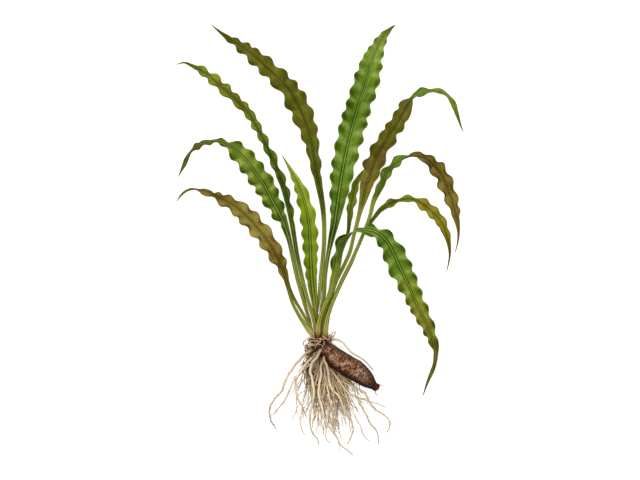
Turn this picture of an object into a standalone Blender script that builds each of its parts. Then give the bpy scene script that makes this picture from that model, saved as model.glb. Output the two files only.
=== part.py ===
"""Bare-rooted aponogeton, laid on a flat surface: ruffled leaves, tuber, main roots and fine roots."""
import math

import bmesh
import bpy
import numpy as np
from mathutils import Vector

MM = 0.001

# Frame, in millimetres: +X right and +Y from the roots to the leaf tips, as the plant lies seen from above.
# +Z is up and z = 0 is the surface it lies on. The plant is 230 mm wide and 345 mm long.

# Leaf sizes, in millimetres
STALK_THICKNESS = 2.5      # thickness at the crown, the most it has anywhere
TIP_THICKNESS = 0.45       # thickness of the midrib at the leaf's tip
THICKNESS_TO_WIDTH = 0.86  # a stalk is a little wider than it is thick
TAPER_POWER = 0.8          # how fast the midrib thins along the leaf
BLADE_STEP = 2.7           # distance between sections where the leaf is wide
STALK_STEP = 7.5           # distance between sections on a stalk
BLADE_WIDTH = 4.0          # a leaf wider than this counts as blade
RUFFLE_START = 3.4         # the ruffle begins on a blade of this width
RUFFLE_FULL = 8.0          # and has its whole height on a blade of this width
RUFFLE_BUMP = 1.15         # how far a crest stands out sideways, at full height
RUFFLE_WAVE = 1.5          # how far a crest stands up, at full height

# Tuber sizes, in millimetres
TUBER_SIDES = 16
CROWN_FLATNESS = 0.86      # height over width where the leaves leave the crown

# Root sizes, in millimetres
ROOT_SIDES = 5
ROOT_STEP = 6.0
ROOT_GAP = 0.6             # clearance where a root leaves the tuber
ROOT_LEAD = 2.0            # how far a root runs straight out of the tuber

# Sizes of the fan of fine roots, in millimetres
FAN_CENTRE = (2.0, -106.0)
FAN_HEIGHT = 2.8
FAN_TIP_HEIGHT = 0.9
FAN_VALLEY_HEIGHT = 1.4
FAN_EDGE_HEIGHT = 1.5
FAN_VALLEY = 0.74          # how far out the gaps between the fan's lobes begin

# A leaf's stations run from the crown to the tip: x, y, z, width and roll.
# Roll is in degrees and lifts the leaf's left margin; at 180 its underside shows.
# Each ruffle is the first crest's distance from the tip and the distance between crests.
LEAVES = {
    "leaf_tall": dict(
        stations=[
            (1.5, -78.5, 7.4, 2.3, 0), (1, -65.5, 7.4, 2.4, 0), (1, -55.5, 7.4, 2.7, 0),
            (3, -45.5, 7.2, 3.2, 0), (4, -29.5, 6.9, 3.4, 0), (7, -9.5, 6, 3.7, 0),
            (9.5, 2.5, 4.6, 5.2, 0), (12, 14.5, 4.2, 7.6, 0), (13.5, 24.5, 4.2, 10.4, 0),
            (15.5, 39, 4.4, 14.8, 0), (18, 54.5, 4.2, 18, 0), (21.5, 72.5, 3.6, 19.6, 4),
            (26.5, 92.5, 3.8, 20.8, 5), (32, 111, 3.8, 20, 5), (38, 129.5, 3.6, 20, 0),
            (42, 144, 3.4, 16.4, 0), (46.5, 154.5, 3.2, 11.2, -5), (51, 163, 2.6, 7.2, -5),
            (56, 168.5, 1.6, 3.4, 0), (60.5, 172.5, 0.5, 0.5, 0)],
        left=(38.0, 11.8), right=(36.0, 12.4), colour="leaf_green"),
    "leaf_olive": dict(
        stations=[
            (-1.5, -78.5, 7.2, 2.3, 0), (-2.5, -67.5, 5.4, 2.5, 0), (-2.5, -57.5, 4.8, 2.7, 0),
            (-0.5, -45, 4.4, 3.2, 0), (1, -28.5, 4.2, 3.4, 0), (3, -8, 4, 3.4, 0),
            (3.5, 6.5, 3.8, 3.5, 0), (2.5, 24.5, 3.5, 4.2, 0), (-0.5, 42.5, 3.3, 5.6, 0),
            (-3.5, 59, 3.2, 8.4, 0), (-6, 74, 3.3, 10.8, 0), (-9, 87, 3.4, 14, 0),
            (-14.5, 101.5, 3.6, 17.2, 0), (-21, 115, 3.6, 16.4, 0), (-29.5, 126, 3.6, 14.8, 0),
            (-40.5, 136.5, 3.5, 13.6, 0), (-52.5, 147, 3.4, 12, 0), (-62, 154.5, 3, 8.8, 0),
            (-72.5, 161, 2.3, 5, 0), (-80, 166.5, 1.6, 2.4, 0), (-87, 172.5, 0.5, 0.5, 0)],
        left=(31.7, 12.3), right=(32.8, 11.8), colour="leaf_olive"),
    "leaf_narrow": dict(
        stations=[
            (-3, -78.5, 10.8, 2.4, 0), (-4, -69, 10.4, 2.9, 0), (-6, -59.5, 9.8, 3.2, 0),
            (-10, -47.5, 8.4, 3.2, 0), (-14.5, -29.5, 6.6, 3.4, 0), (-18.5, -10.5, 5.8, 3.5, 0),
            (-20.8, 4, 5.4, 3.8, 0), (-24.5, 25.5, 3.6, 5, 0), (-28.5, 41.5, 3.5, 5.9, 10),
            (-34.5, 57, 3.7, 6.4, 20), (-42.5, 74.5, 3.9, 6.4, 25), (-49.5, 88.5, 3.8, 6.8, 20),
            (-57, 101.5, 3.6, 7.2, 10), (-66.5, 111.5, 3.5, 7.5, 0), (-78.5, 122.5, 3.4, 8.3, 0),
            (-88, 131, 3.2, 7.8, 0), (-95.5, 136, 2.8, 5.6, 0), (-102.5, 139.5, 2.2, 3, 0),
            (-108.5, 142, 1.5, 1.6, 0), (-115, 140.5, 0.5, 0.5, 0)],
        left=(23.0, 12.0), right=(21.5, 11.0), colour="leaf_olive"),
    "leaf_arched": dict(
        stations=[
            (-6.5, -78.5, 7.8, 2.3, 0), (-8, -65.5, 7.6, 2.6, 0), (-11, -55.5, 7, 2.9, 0),
            (-14, -45, 6.4, 3.2, 0), (-18, -30.5, 5.2, 3.4, 0), (-22, -12, 4.6, 3.7, 0),
            (-25, 1.5, 4.1, 4.4, 0), (-29, 13.5, 4.7, 7.2, 0), (-33.5, 23, 4.8, 11.5, 0),
            (-39, 33, 4.4, 14.4, 0), (-44.5, 44, 4.2, 16.8, 0), (-51, 53, 4.4, 16.4, 0),
            (-58.5, 63, 5.2, 16, 10), (-66.5, 71, 6.6, 14.4, 12), (-74, 76.5, 8, 7.2, 28),
            (-79.5, 79.2, 8.2, 6.2, 38), (-83.5, 79.4, 8, 3.6, 40), (-88, 78.8, 7.5, 6.2, 40),
            (-92, 78, 7, 5, 38), (-98.5, 75, 6, 6.4, 30), (-103, 71, 5, 2.6, 35),
            (-106, 66.5, 4, 3.9, 28), (-108.5, 60.5, 3, 3.6, 10), (-111, 55.5, 1.9, 1.8, 0),
            (-113.5, 50.5, 0.5, 0.5, 0)],
        left=(51.0, 12.7), right=(60.8, 11.9), colour="leaf_green"),
    "leaf_brown": dict(
        stations=[
            (-5.3, -78.5, 13.8, 3.7, 0), (-5.8, -76.3, 13.8, 4.0, 0), (-8.8, -72, 13.4, 4.5, 0),
            (-12.5, -67, 12.2, 3.5, 0),
            (-17.5, -59, 10.4, 2.9, 0), (-22.5, -49, 8.6, 2.7, 0), (-25.5, -38.5, 7.2, 3, 0),
            (-28, -28, 6.6, 5.9, 0), (-32.5, -17, 6.2, 10.4, 0), (-37.5, -7.5, 5.8, 12.8, 0),
            (-44, 2.5, 5.1, 13.8, 0), (-51.5, 11.5, 4.5, 14.2, 0), (-59.5, 20, 4.3, 14.2, 0),
            (-66.5, 26, 4.4, 12, 0), (-71.5, 29, 4.8, 10.4, 10), (-77, 32.5, 5.3, 10, 25),
            (-83.5, 36, 5.8, 8.8, 50), (-89, 38.5, 5.8, 8, 50), (-94.5, 40, 5.4, 6.8, 52),
            (-99, 41, 5, 5.2, 80), (-103, 41, 4.1, 3.7, 55), (-107.5, 39, 3, 2.6, 35),
            (-111.5, 35.5, 1.9, 1.8, 10), (-114.5, 31, 0.5, 0.5, 0)],
        left=(27.0, 13.3), right=(38.0, 11.0), colour="leaf_brown"),
    "leaf_young": dict(
        stations=[
            (-6, -78.5, 10.6, 2.4, 0), (-7, -70, 10, 2.6, 0), (-11, -63.5, 9, 2.6, 0),
            (-15, -56.5, 7.8, 2.6, 0), (-19.5, -49, 6, 2.6, 0), (-24, -39, 3.6, 2.4, 0),
            (-27, -29.5, 2.6, 2.9, 0), (-31.5, -19.5, 2.4, 3.2, 0), (-35.5, -11.5, 1.8, 2.1, 0),
            (-39, -5.5, 0.5, 0.5, 0)],
        left=(12.0, 12.0), right=(18.0, 12.0), colour="leaf_brown"),
    "leaf_short": dict(
        stations=[
            (-4, -78.5, 7.4, 2.3, 0), (-3.5, -69, 8.2, 2.4, 0), (-3.5, -59.5, 8.6, 2.8, 0),
            (-4.5, -49, 8.6, 5, 0), (-6, -37, 8.8, 7.4, 0), (-7, -24, 8.8, 9.6, 0),
            (-7.5, -9.5, 8, 11.5, 0), (-8, 2.5, 6.8, 12.4, 0), (-9, 14.5, 5.7, 12.3, 0),
            (-10.5, 23, 5, 11.8, 0), (-13, 32.5, 4.2, 10.6, 0), (-17, 44, 3.4, 8, 0),
            (-21.5, 52.5, 2.7, 4.8, 0), (-26, 60.5, 1.8, 2.4, 0), (-30.5, 68, 0.5, 0.5, 0)],
        left=(24.8, 13.3), right=(21.0, 11.8), colour="leaf_light"),
    "leaf_hooked": dict(
        stations=[
            (1.5, -78.5, 10.6, 2.4, 0), (2.5, -65.5, 10.4, 2.6, 0), (4.5, -56.5, 10, 2.7, 0),
            (8, -48, 9.4, 2.9, 0), (13, -33, 8.4, 3, 0), (19, -21, 7.8, 3, 0),
            (24, -9.5, 7.4, 3, 0), (27, 3, 7.2, 3, 0), (29.5, 12.5, 7.4, 3.4, 0),
            (32, 22.5, 7.6, 4, 0), (35, 34, 7, 7.2, 0), (37.5, 45, 6.2, 11, 0),
            (41.5, 56, 5.5, 14.4, 0), (45.5, 66.5, 5, 14.8, 0), (49.5, 74, 5, 14.1, 0),
            (55, 83.5, 5.2, 13.1, 0), (61, 92, 6, 12.8, -3), (66, 100.5, 7.6, 12, -8),
            (70, 107.5, 9.2, 11.2, -24), (73.5, 112, 10.2, 8.2, -60), (77.5, 115.5, 10.2, 6, -125),
            (82, 117.5, 9.4, 6.8, -145), (86.5, 119, 8.6, 5.4, -140), (91, 119.5, 7.6, 4.6, -138),
            (96, 118.5, 6.6, 4.8, -142), (101.5, 116, 5.6, 4.2, -140), (105.5, 111, 4.5, 4.4, -152),
            (108.5, 104, 3.5, 3.9, -165), (111, 97, 2.6, 2.5, -180), (113, 91, 1.7, 1.4, -180),
            (115, 86.5, 0.5, 0.5, -180)],
        left=(53.0, 10.9), right=(52.8, 10.9), colour="leaf_brown"),
    "leaf_small": dict(
        stations=[
            (4.5, -78.5, 7.2, 2.3, 0), (4, -69, 6.8, 2.4, 0), (5, -58.5, 6.2, 2.4, 0),
            (7, -49, 5.6, 2.4, 0), (11, -32, 4.6, 2.4, 0), (14.5, -16, 4, 2.4, 0),
            (19.5, -2.5, 3.6, 2.4, 0), (22.5, 6.5, 3, 2.7, 0), (23.5, 15, 2.8, 3.7, 0),
            (24.5, 25.5, 2.4, 5.8, 0), (26.5, 35, 2, 6.6, 0), (28, 42.5, 1.9, 5.6, 0),
            (30.5, 48.5, 1.9, 4.4, 0), (33, 52.5, 1.5, 3.2, 0), (35.5, 56.5, 0.5, 0.5, 0)],
        left=(16.0, 10.5), right=(20.0, 10.5), colour="leaf_olive"),
    "leaf_twisted": dict(
        stations=[
            (4, -78.5, 13.8, 3.7, 0), (4.5, -72, 13.4, 4.3, 0), (5.5, -64, 12.6, 3.7, 0),
            (8, -55.5, 11.6, 3.2, 0), (11, -47.5, 10.8, 3, 0), (18, -31.5, 9.4, 2.9, 0),
            (25, -17.5, 8.4, 2.9, 0), (31, -4, 7.6, 2.9, 0), (36, 8, 7.2, 2.9, 0),
            (40, 19, 6.8, 3, 0), (43, 31, 6.5, 4, 0), (46, 38, 6.3, 5.1, 0),
            (49.5, 45, 6.3, 6.1, 0), (53.5, 54, 6.7, 7.4, -10), (57.5, 59, 7.4, 8.4, -42),
            (62, 62, 8.2, 8.8, -35), (67, 65, 9.2, 8.8, -71), (73, 67, 9.8, 8.8, -96),
            (78.5, 66.5, 9.8, 9.6, -118), (83.5, 65.5, 9.2, 10, -134), (88.5, 62, 8.2, 10.8, -143),
            (93, 57.5, 6.8, 12, -160), (97, 52.5, 5.6, 11.6, -172), (100, 46.5, 4.7, 12, -180),
            (102.5, 40, 4.2, 11.2, -180), (105.5, 32.5, 3.8, 10.1, -180), (108, 23.5, 3.5, 7.7, -180),
            (110, 14, 3, 4.3, -180), (111, 6.5, 2.4, 2.4, -180), (110.5, -1, 1.7, 1.4, -180),
            (108.5, -10, 0.5, 0.5, -180)],
        left=(42.5, 12.3), right=(42.5, 12.6), colour="leaf_brown"),
    "leaf_yellow": dict(
        stations=[
            (5.5, -78.5, 10.6, 2.4, 0), (5.5, -70.5, 10, 2.6, 0), (6.5, -62.5, 9.2, 2.6, 0),
            (8.5, -54.5, 8.2, 2.4, 0), (11.5, -47.5, 7.2, 2.4, 0), (18.5, -32, 5.4, 2.4, 0),
            (25.5, -18, 4.4, 2.4, 0), (31, -4, 3.8, 2.4, 0), (36, 7, 3.6, 2.6, 0),
            (40, 13, 4, 2.9, 0), (44, 18.5, 4.8, 3.3, 0), (48, 23.5, 5.4, 4, -10),
            (52.5, 27, 6, 5.3, -15), (57, 29.5, 6.4, 6.6, -15), (62, 31.5, 6.6, 4.2, -35),
            (66.5, 32.5, 6.6, 5, -38), (71.5, 33, 6.4, 6, -25), (76.5, 32, 6, 5.2, -28),
            (81, 29.5, 5.4, 7.8, -15), (85.5, 26.5, 4.6, 8.8, 0), (90, 22.5, 4.1, 9.2, 0),
            (94, 18.5, 3.8, 8.5, 0), (97.5, 13.5, 3.5, 8, 0), (100, 8, 3.2, 6.6, 0),
            (102, 2.5, 2.8, 5.1, 0), (103.5, -4.5, 2.4, 3.2, 0), (104, -11.5, 1.9, 1.9, 0),
            (103, -19, 1.3, 1.2, 0), (101.5, -25.5, 0.5, 0.5, 0)],
        left=(39.0, 12.0), right=(33.0, 11.4), colour="leaf_yellow"),
    "leaf_front": dict(
        stations=[
            (-1, -78.5, 13.8, 3.8, -180), (-1.5, -73, 13.8, 4.2, -180), (-0.5, -65, 13.6, 3.8, -180),
            (2, -56.5, 13.4, 3.5, -180), (5, -49.5, 13.2, 3.4, -180), (8.5, -41.5, 13.2, 4.2, -180),
            (11, -31.5, 13.4, 5.9, -180), (13, -20, 13.8, 7.6, -180), (15, -8.5, 14.4, 8, -162),
            (18.5, -0.5, 15.2, 8.8, -138), (23.5, 4.5, 16, 6.8, -115), (29.5, 7.5, 16.2, 7, -68),
            (37, 8, 15.6, 9.4, -40), (44, 6.5, 14.6, 10.4, -32), (50, 2.5, 13.2, 13.4, -18),
            (55, -3.5, 11.6, 14.6, -10), (59.5, -12, 9.4, 18, 0), (64.5, -23, 7.4, 18.4, 0),
            (69.5, -33, 5.8, 16.5, 0), (74.5, -44.5, 4.7, 14.4, 0), (79.5, -55.5, 4.1, 13.3, 0),
            (84.5, -65.5, 3.7, 11.5, 0), (89, -76, 3.5, 8.8, 0), (91.5, -84, 3.3, 6.7, 15),
            (92.5, -94.5, 3, 4.5, 40), (90, -104.5, 2.5, 3.7, 25), (86, -114.5, 1.7, 2.2, 0),
            (82.5, -125, 0.5, 0.5, 0)],
        left=(54.0, 12.0), right=(57.0, 12.0), colour="leaf_green"),
}

# The tuber's centre line from the crown to its end: x, y, z and half width.
TUBER = [
    (0.2, -79.8, 10.7, 6.7), (0.4, -82.9, 10.4, 6.9), (3.6, -86.9, 10.0, 6.9), (7.9, -89.5, 9.4, 6.9),
    (12.4, -94.2, 8.7, 8.0), (17.6, -97.9, 8.1, 8.4), (22.8, -101.0, 8.4, 8.7), (28.4, -104.5, 8.4, 8.7),
    (33.8, -108.4, 7.7, 7.8), (39.2, -113.3, 6.6, 6.0), (43.1, -116.5, 5.6, 3.7), (45.7, -118.4, 5.0, 3.2),
    (47.1, -119.6, 4.7, 1.8)]

# A main root: where it leaves the tuber (place along it, turn around it in degrees),
# its route, and its thickness at the start and at the tip. A fork starts beside the root it grows from.
ROOTS = {
    "root_01": dict(
        tuber=(0.2, -88), thick=(1.7, 0.7),
        route=[(-10.5, -79, 11), (-12.7, -81, 8.5), (-13, -84.5, 4.5)]),
    "root_02": dict(
        tuber=(0.9, -60), thick=(1.8, 0.7),
        route=[(-10, -83.5, 12), (-12.5, -87, 5.5)]),
    "root_03": dict(
        tuber=(1.2, -95), thick=(2.2, 0.8),
        route=[(-13.5, -93, 7.8), (-21, -102, 5), (-28, -113.5, 3.4), (-30.5, -121, 2.6), (-36.5, -127.5, 1.8),
               (-40.5, -136.5, 1.2), (-39.5, -144, 0.9), (-35.5, -151, 0.6)]),
    "root_04": dict(
        tuber=(1.7, -103), thick=(2.2, 0.8),
        route=[(-11, -99, 7.4), (-18, -108, 6.6), (-22.5, -116, 4.4), (-27.5, -127.5, 2.2), (-37, -139.5, 0.8)]),
    "root_05": dict(
        tuber=(2.0, -125), thick=(2.2, 0.9),
        route=[(-7, -99, 4.6), (-15, -105, 4), (-19, -113.5, 3.8), (-18.5, -125, 3.6), (-13.5, -135, 3),
               (-11, -141.5, 2.6)]),
    "root_05_fork_left": dict(
        thick=(1.1, 0.6), route=[(-19, -128.5, 3.2), (-18.8, -136.5, 2.7), (-22.5, -144, 2.2)]),
    "root_05_fork_right": dict(
        thick=(1.1, 0.6), route=[(-14.5, -138, 2.6), (-15.8, -146.5, 2.4), (-14.5, -152, 2), (-12, -156.5, 1.6)]),
    "root_06": dict(
        tuber=(1.7, -28), thick=(2.6, 0.9),
        route=[(-2, -93, 15), (-6.5, -99, 10), (-7.5, -105.5, 7), (-6.5, -110, 5.6), (-5, -125, 4.2),
               (-7.5, -136.5, 3.2), (-8, -144, 2.7), (-6, -155, 2.1), (-2, -159.5, 1.8), (-1, -164, 1.4)]),
    "root_07": dict(
        tuber=(2.6, -95), thick=(2.4, 0.8),
        route=[(1, -101, 7.2), (1, -108, 5.6), (-1, -117.5, 4.6), (-0.5, -126.5, 4), (2, -135, 3.2),
               (4, -144, 2.8), (8, -151, 2.6), (13.5, -158, 2.2), (17, -165, 1.6), (21.5, -168, 0.9),
               (26.5, -172.5, 0.5)]),
    "root_07_fork_left": dict(
        thick=(1.0, 0.6), route=[(5.6, -150.8, 2.4), (5, -158, 1.9), (8.5, -163.5, 1.4)]),
    "root_07_fork_right": dict(
        thick=(0.9, 0.5), route=[(15.6, -166.4, 1.2), (15, -171, 0.5)]),
    "root_08": dict(
        tuber=(2.9, -118), thick=(1.8, 0.7),
        route=[(3.5, -105, 4.3), (6, -118, 4), (8.5, -130, 3.6), (11, -142, 2.8), (12.8, -152, 2.3)]),
    "root_09": dict(
        tuber=(2.6, -62), thick=(2.3, 0.8),
        route=[(5.5, -100.5, 11.5), (6.5, -106, 9), (7, -111, 6.6), (10, -119.5, 4.6), (15.5, -126, 3.8),
               (19.5, -135, 3.2), (25.5, -146.5, 2.4), (26.5, -152.5, 2), (24, -160, 1.5), (21.5, -164, 1.2)]),
    "root_10": dict(
        tuber=(3.6, -95), thick=(2.1, 0.8),
        route=[(9.5, -105, 6.4), (15.5, -112.5, 5), (21, -120.5, 4.2), (29.5, -126.5, 3.4), (36.5, -139.5, 2.6),
               (41, -148, 1.9), (45.5, -153.5, 1.2), (47, -163.5, 0.6)]),
    "root_10_fork_left": dict(
        thick=(1.2, 0.7), route=[(20.2, -123, 3.8), (23, -131, 3.4), (28.5, -142.5, 2.8), (32.5, -149.5, 2.2),
                                 (35, -156.5, 1.5), (39.5, -161.5, 0.8)]),
    "root_10_fork_right": dict(
        thick=(1.1, 0.6), route=[(31.6, -127, 4.4), (39, -128.8, 5), (47.8, -132, 3.2), (52.5, -134.5, 1.4)]),
    "root_11": dict(
        tuber=(3.9, -118), thick=(1.9, 0.8),
        route=[(9.5, -106, 3.5), (17.5, -112.8, 3.3), (28, -118.8, 3.1), (35.5, -122, 2.8), (40, -130.5, 2.6),
               (44, -135.5, 2.2), (50, -139.5, 1.8), (55.5, -145, 1.2), (56, -149.5, 0.8), (54, -154, 0.6)]),
    "root_12": dict(
        tuber=(1.9, 78), thick=(1.9, 0.8),
        route=[(12.5, -79.4, 11.2), (16.5, -80.8, 9.5), (22, -86.5, 7), (28.8, -92.2, 4.2), (36.5, -97.5, 2.2),
               (43, -104.5, 0.7)]),
    "root_13": dict(
        tuber=(0.08, 108), thick=(1.6, 0.5),
        route=[(10.5, -77, 8.8), (13, -72.5, 9.2)]),
    "root_14": dict(
        thick=(0.9, 0.5), route=[(48.4, -115.9, 5.2), (49.6, -116.2, 4.6), (51.2, -116.8, 3.6)]),
    "root_15": dict(
        thick=(0.9, 0.5), route=[(44.5, -122.3, 3.6), (45.6, -123.7, 2.8), (46.3, -125.4, 1.6)]),
}

# Tips of the fine roots' lobes, from left to right, and the fan's edge under the tuber: x and y.
FAN_TIPS = [
    (-23, -133.5), (-18.5, -147.5), (-13.5, -155.5), (-9, -157.5), (-4.5, -163.5), (1, -160), (6.5, -163.5),
    (11.5, -157), (17, -166.5), (23.5, -160), (30.5, -157), (38.5, -150.5), (43.5, -140), (48, -127)]
FAN_EDGE = [(36, -120.5), (28, -116), (17, -109.5), (9, -102.5), (3.5, -94), (-3, -87), (-8, -88.5), (-13, -103)]


def hermite(rows, knots, place):
    """Row and slope of a smooth curve through the rows, at a distance along it."""
    last = len(knots) - 2
    i = min(max(int(np.searchsorted(knots, place, side="right")) - 1, 0), last)
    span = knots[i + 1] - knots[i]
    t = (place - knots[i]) / span
    m0 = slope_at(rows, knots, i)
    m1 = slope_at(rows, knots, i + 1)
    value = ((2 * t**3 - 3 * t**2 + 1) * rows[i] + (t**3 - 2 * t**2 + t) * span * m0
             + (3 * t**2 - 2 * t**3) * rows[i + 1] + (t**3 - t**2) * span * m1)
    slope = ((6 * t**2 - 6 * t) * rows[i] / span + (3 * t**2 - 4 * t + 1) * m0
             + (6 * t - 6 * t**2) * rows[i + 1] / span + (3 * t**2 - 2 * t) * m1)
    return value, slope


def slope_at(rows, knots, i):
    """Slope at a knot, weighed by the spans on both sides."""
    if i == 0:
        return (rows[1] - rows[0]) / (knots[1] - knots[0])
    if i == len(knots) - 1:
        return (rows[-1] - rows[-2]) / (knots[-1] - knots[-2])
    before = knots[i] - knots[i - 1]
    after = knots[i + 1] - knots[i]
    return ((rows[i] - rows[i - 1]) / before * after
            + (rows[i + 1] - rows[i]) / after * before) / (before + after)


def distances(rows):
    """Distance along the route at each of its points."""
    steps = np.linalg.norm(np.diff(rows[:, :3], axis=0), axis=1)
    return np.concatenate([[0.0], np.cumsum(steps)])


def axes_at(slope):
    """Forward, left and up directions of a route that never stands upright."""
    forward = slope[:3] / np.linalg.norm(slope[:3])
    left = np.cross((0.0, 0.0, 1.0), forward)
    left /= np.linalg.norm(left)
    return forward, left, np.cross(forward, left)


def loft(name, rings, colour):
    """Closed solid through rings of points, with flat ends."""
    mesh = bpy.data.meshes.new(name)
    bm = bmesh.new()
    loops = [[bm.verts.new(Vector(p) * MM) for p in ring] for ring in rings]
    for ring, following in zip(loops, loops[1:]):
        for i in range(len(ring)):
            j = (i + 1) % len(ring)
            bm.faces.new((ring[i], ring[j], following[j], following[i]))
    bm.faces.new(loops[0])
    bm.faces.new(loops[-1])
    bmesh.ops.recalc_face_normals(bm, faces=bm.faces)
    bmesh.ops.triangulate(bm, faces=bm.faces)
    bm.to_mesh(mesh)
    bm.free()
    mesh.materials.append(colour)
    piece = bpy.data.objects.new(name, mesh)
    bpy.context.scene.collection.objects.link(piece)
    return piece


def material(name, colour, roughness):
    made = bpy.data.materials.new(name)
    made.use_nodes = True
    shader = made.node_tree.nodes["Principled BSDF"]
    shader.inputs["Base Color"].default_value = (*colour, 1.0)
    shader.inputs["Roughness"].default_value = roughness
    return made


def ruffle(distance_from_tip, width, crests):
    """Height of the margin's wave, from -1 to 1, fading where the leaf is narrow."""
    first, pitch = crests
    strength = min(max((width - RUFFLE_START) / (RUFFLE_FULL - RUFFLE_START), 0.0), 1.0)
    return strength * math.cos(2 * math.pi * (distance_from_tip - first) / pitch)


def leaf_places(rows, knots):
    """Distances along a leaf at which it gets a section."""
    places = [0.0]
    while places[-1] < knots[-1]:
        width = hermite(rows, knots, places[-1])[0][3]
        places.append(places[-1] + (BLADE_STEP if width > BLADE_WIDTH else STALK_STEP))
    return [p * knots[-1] / places[-1] for p in places]


def leaf_section(value, slope, place, length, leaf):
    """Four corners of a leaf: left margin, top of the midrib, right margin, bottom of the midrib."""
    left, up = axes_at(slope)[1:]
    roll = math.radians(value[4])
    width = value[3]
    across = left * math.cos(roll) + up * math.sin(roll)
    normal = up * math.cos(roll) - left * math.sin(roll)
    taper = STALK_THICKNESS + (TIP_THICKNESS - STALK_THICKNESS) * (place / length)**TAPER_POWER
    half = min(taper, width * THICKNESS_TO_WIDTH) / 2
    waves = [ruffle(length - place, width, leaf[side]) for side in ("left", "right")]
    centre = value[:3]
    return [
        centre + across * (width / 2 + RUFFLE_BUMP * waves[0]) + normal * RUFFLE_WAVE * waves[0],
        centre + normal * half,
        centre - across * (width / 2 + RUFFLE_BUMP * waves[1]) + normal * RUFFLE_WAVE * waves[1],
        centre - normal * half]


def make_leaf(name, leaf, colours):
    rows = np.array(leaf["stations"], float)
    knots = distances(rows)
    rings = []
    for place in leaf_places(rows, knots):
        value, slope = hermite(rows, knots, min(place, knots[-1]))
        rings.append(leaf_section(value, slope, min(place, knots[-1]), knots[-1], leaf))
    return loft(name, rings, colours[leaf["colour"]])


def tuber_ring(index):
    """One ring of the tuber; the side it lies on is flattened at the surface."""
    rows = np.array(TUBER, float)
    knots = distances(rows)
    value, slope = hermite(rows, knots, knots[index])
    left, up = axes_at(slope * (1, 1, 0, 0))[1:]
    height = value[3] * (CROWN_FLATNESS if index < 2 else 1.0)
    ring = []
    for i in range(TUBER_SIDES):
        turn = 2 * math.pi * (i + 0.5) / TUBER_SIDES
        point = value[:3] + left * math.sin(turn) * value[3] + up * math.cos(turn) * height
        ring.append((point[0], point[1], max(point[2], 0.0)))
    return ring


def make_tuber(colours):
    return loft("tuber", [tuber_ring(i) for i in range(len(TUBER))], colours["tuber_brown"])


def on_tuber(along, turn):
    """Point just off the tuber's side and the direction straight out of it."""
    rows = np.array(TUBER, float)
    knots = distances(rows)
    place = np.interp(along, range(len(TUBER)), knots)
    value, slope = hermite(rows, knots, place)
    left, up = axes_at(slope * (1, 1, 0, 0))[1:]
    out = left * math.sin(math.radians(turn)) + up * math.cos(math.radians(turn))
    return value[:3] + out * (value[3] + ROOT_GAP), out


def make_root(name, root, colours):
    if "tuber" in root:
        start, out = on_tuber(*root["tuber"])
        route = [start, start + out * ROOT_LEAD] + root["route"]
    else:
        route = root["route"]
    rows = np.array([tuple(p) for p in route], float)
    knots = distances(rows)
    count = max(3, round(knots[-1] / ROOT_STEP))
    turns = [2 * math.pi * i / ROOT_SIDES for i in range(ROOT_SIDES)]
    first, last = root["thick"]
    rings = []
    for share in np.linspace(0.0, 1.0, count + 1):
        value, slope = hermite(rows, knots, share * knots[-1])
        side, over = axes_at(slope)[1:]
        radius = (first + (last - first) * share) / 2
        rings.append([value + (side * math.cos(a) + over * math.sin(a)) * radius for a in turns])
    return loft(name, rings, colours["root_cream"])


def make_fine_roots(colours):
    """Low fan of fine roots: flat underneath, with a pointed lobe for each group of tips."""
    centre = np.array(FAN_CENTRE)
    outline = []
    for i, tip in enumerate(FAN_TIPS):
        if i > 0:
            between = (np.array(FAN_TIPS[i - 1]) + np.array(tip)) / 2
            outline.append((*(centre + (between - centre) * FAN_VALLEY), FAN_VALLEY_HEIGHT))
        outline.append((*tip, FAN_TIP_HEIGHT))
    outline += [(x, y, FAN_EDGE_HEIGHT) for x, y in FAN_EDGE]
    mesh = bpy.data.meshes.new("fine_roots")
    bm = bmesh.new()
    low = [bm.verts.new((x * MM, y * MM, 0.0)) for x, y, z in outline]
    high = [bm.verts.new((x * MM, y * MM, z * MM)) for x, y, z in outline]
    peak = bm.verts.new((centre[0] * MM, centre[1] * MM, FAN_HEIGHT * MM))
    bm.faces.new(low)
    for i in range(len(outline)):
        j = (i + 1) % len(outline)
        bm.faces.new((low[i], low[j], high[j], high[i]))
        bm.faces.new((high[i], high[j], peak))
    bmesh.ops.recalc_face_normals(bm, faces=bm.faces)
    bmesh.ops.triangulate(bm, faces=bm.faces)
    bm.to_mesh(mesh)
    bm.free()
    mesh.materials.append(colours["root_cream"])
    piece = bpy.data.objects.new("fine_roots", mesh)
    bpy.context.scene.collection.objects.link(piece)


def main():
    for old in list(bpy.data.objects):
        bpy.data.objects.remove(old)
    colours = {
        "leaf_green": material("leaf_green", (0.09, 0.21, 0.02), 0.45),
        "leaf_olive": material("leaf_olive", (0.13, 0.13, 0.02), 0.45),
        "leaf_brown": material("leaf_brown", (0.18, 0.13, 0.03), 0.45),
        "leaf_light": material("leaf_light", (0.20, 0.33, 0.03), 0.45),
        "leaf_yellow": material("leaf_yellow", (0.24, 0.22, 0.04), 0.45),
        "tuber_brown": material("tuber_brown", (0.07, 0.035, 0.018), 0.7),
        "root_cream": material("root_cream", (0.62, 0.47, 0.32), 0.65)}
    for name, leaf in LEAVES.items():
        make_leaf(name, leaf, colours)
    make_tuber(colours)
    make_fine_roots(colours)
    for name, root in ROOTS.items():
        make_root(name, root, colours)


main()
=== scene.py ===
import math
import random
from functools import partial, reduce

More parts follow.
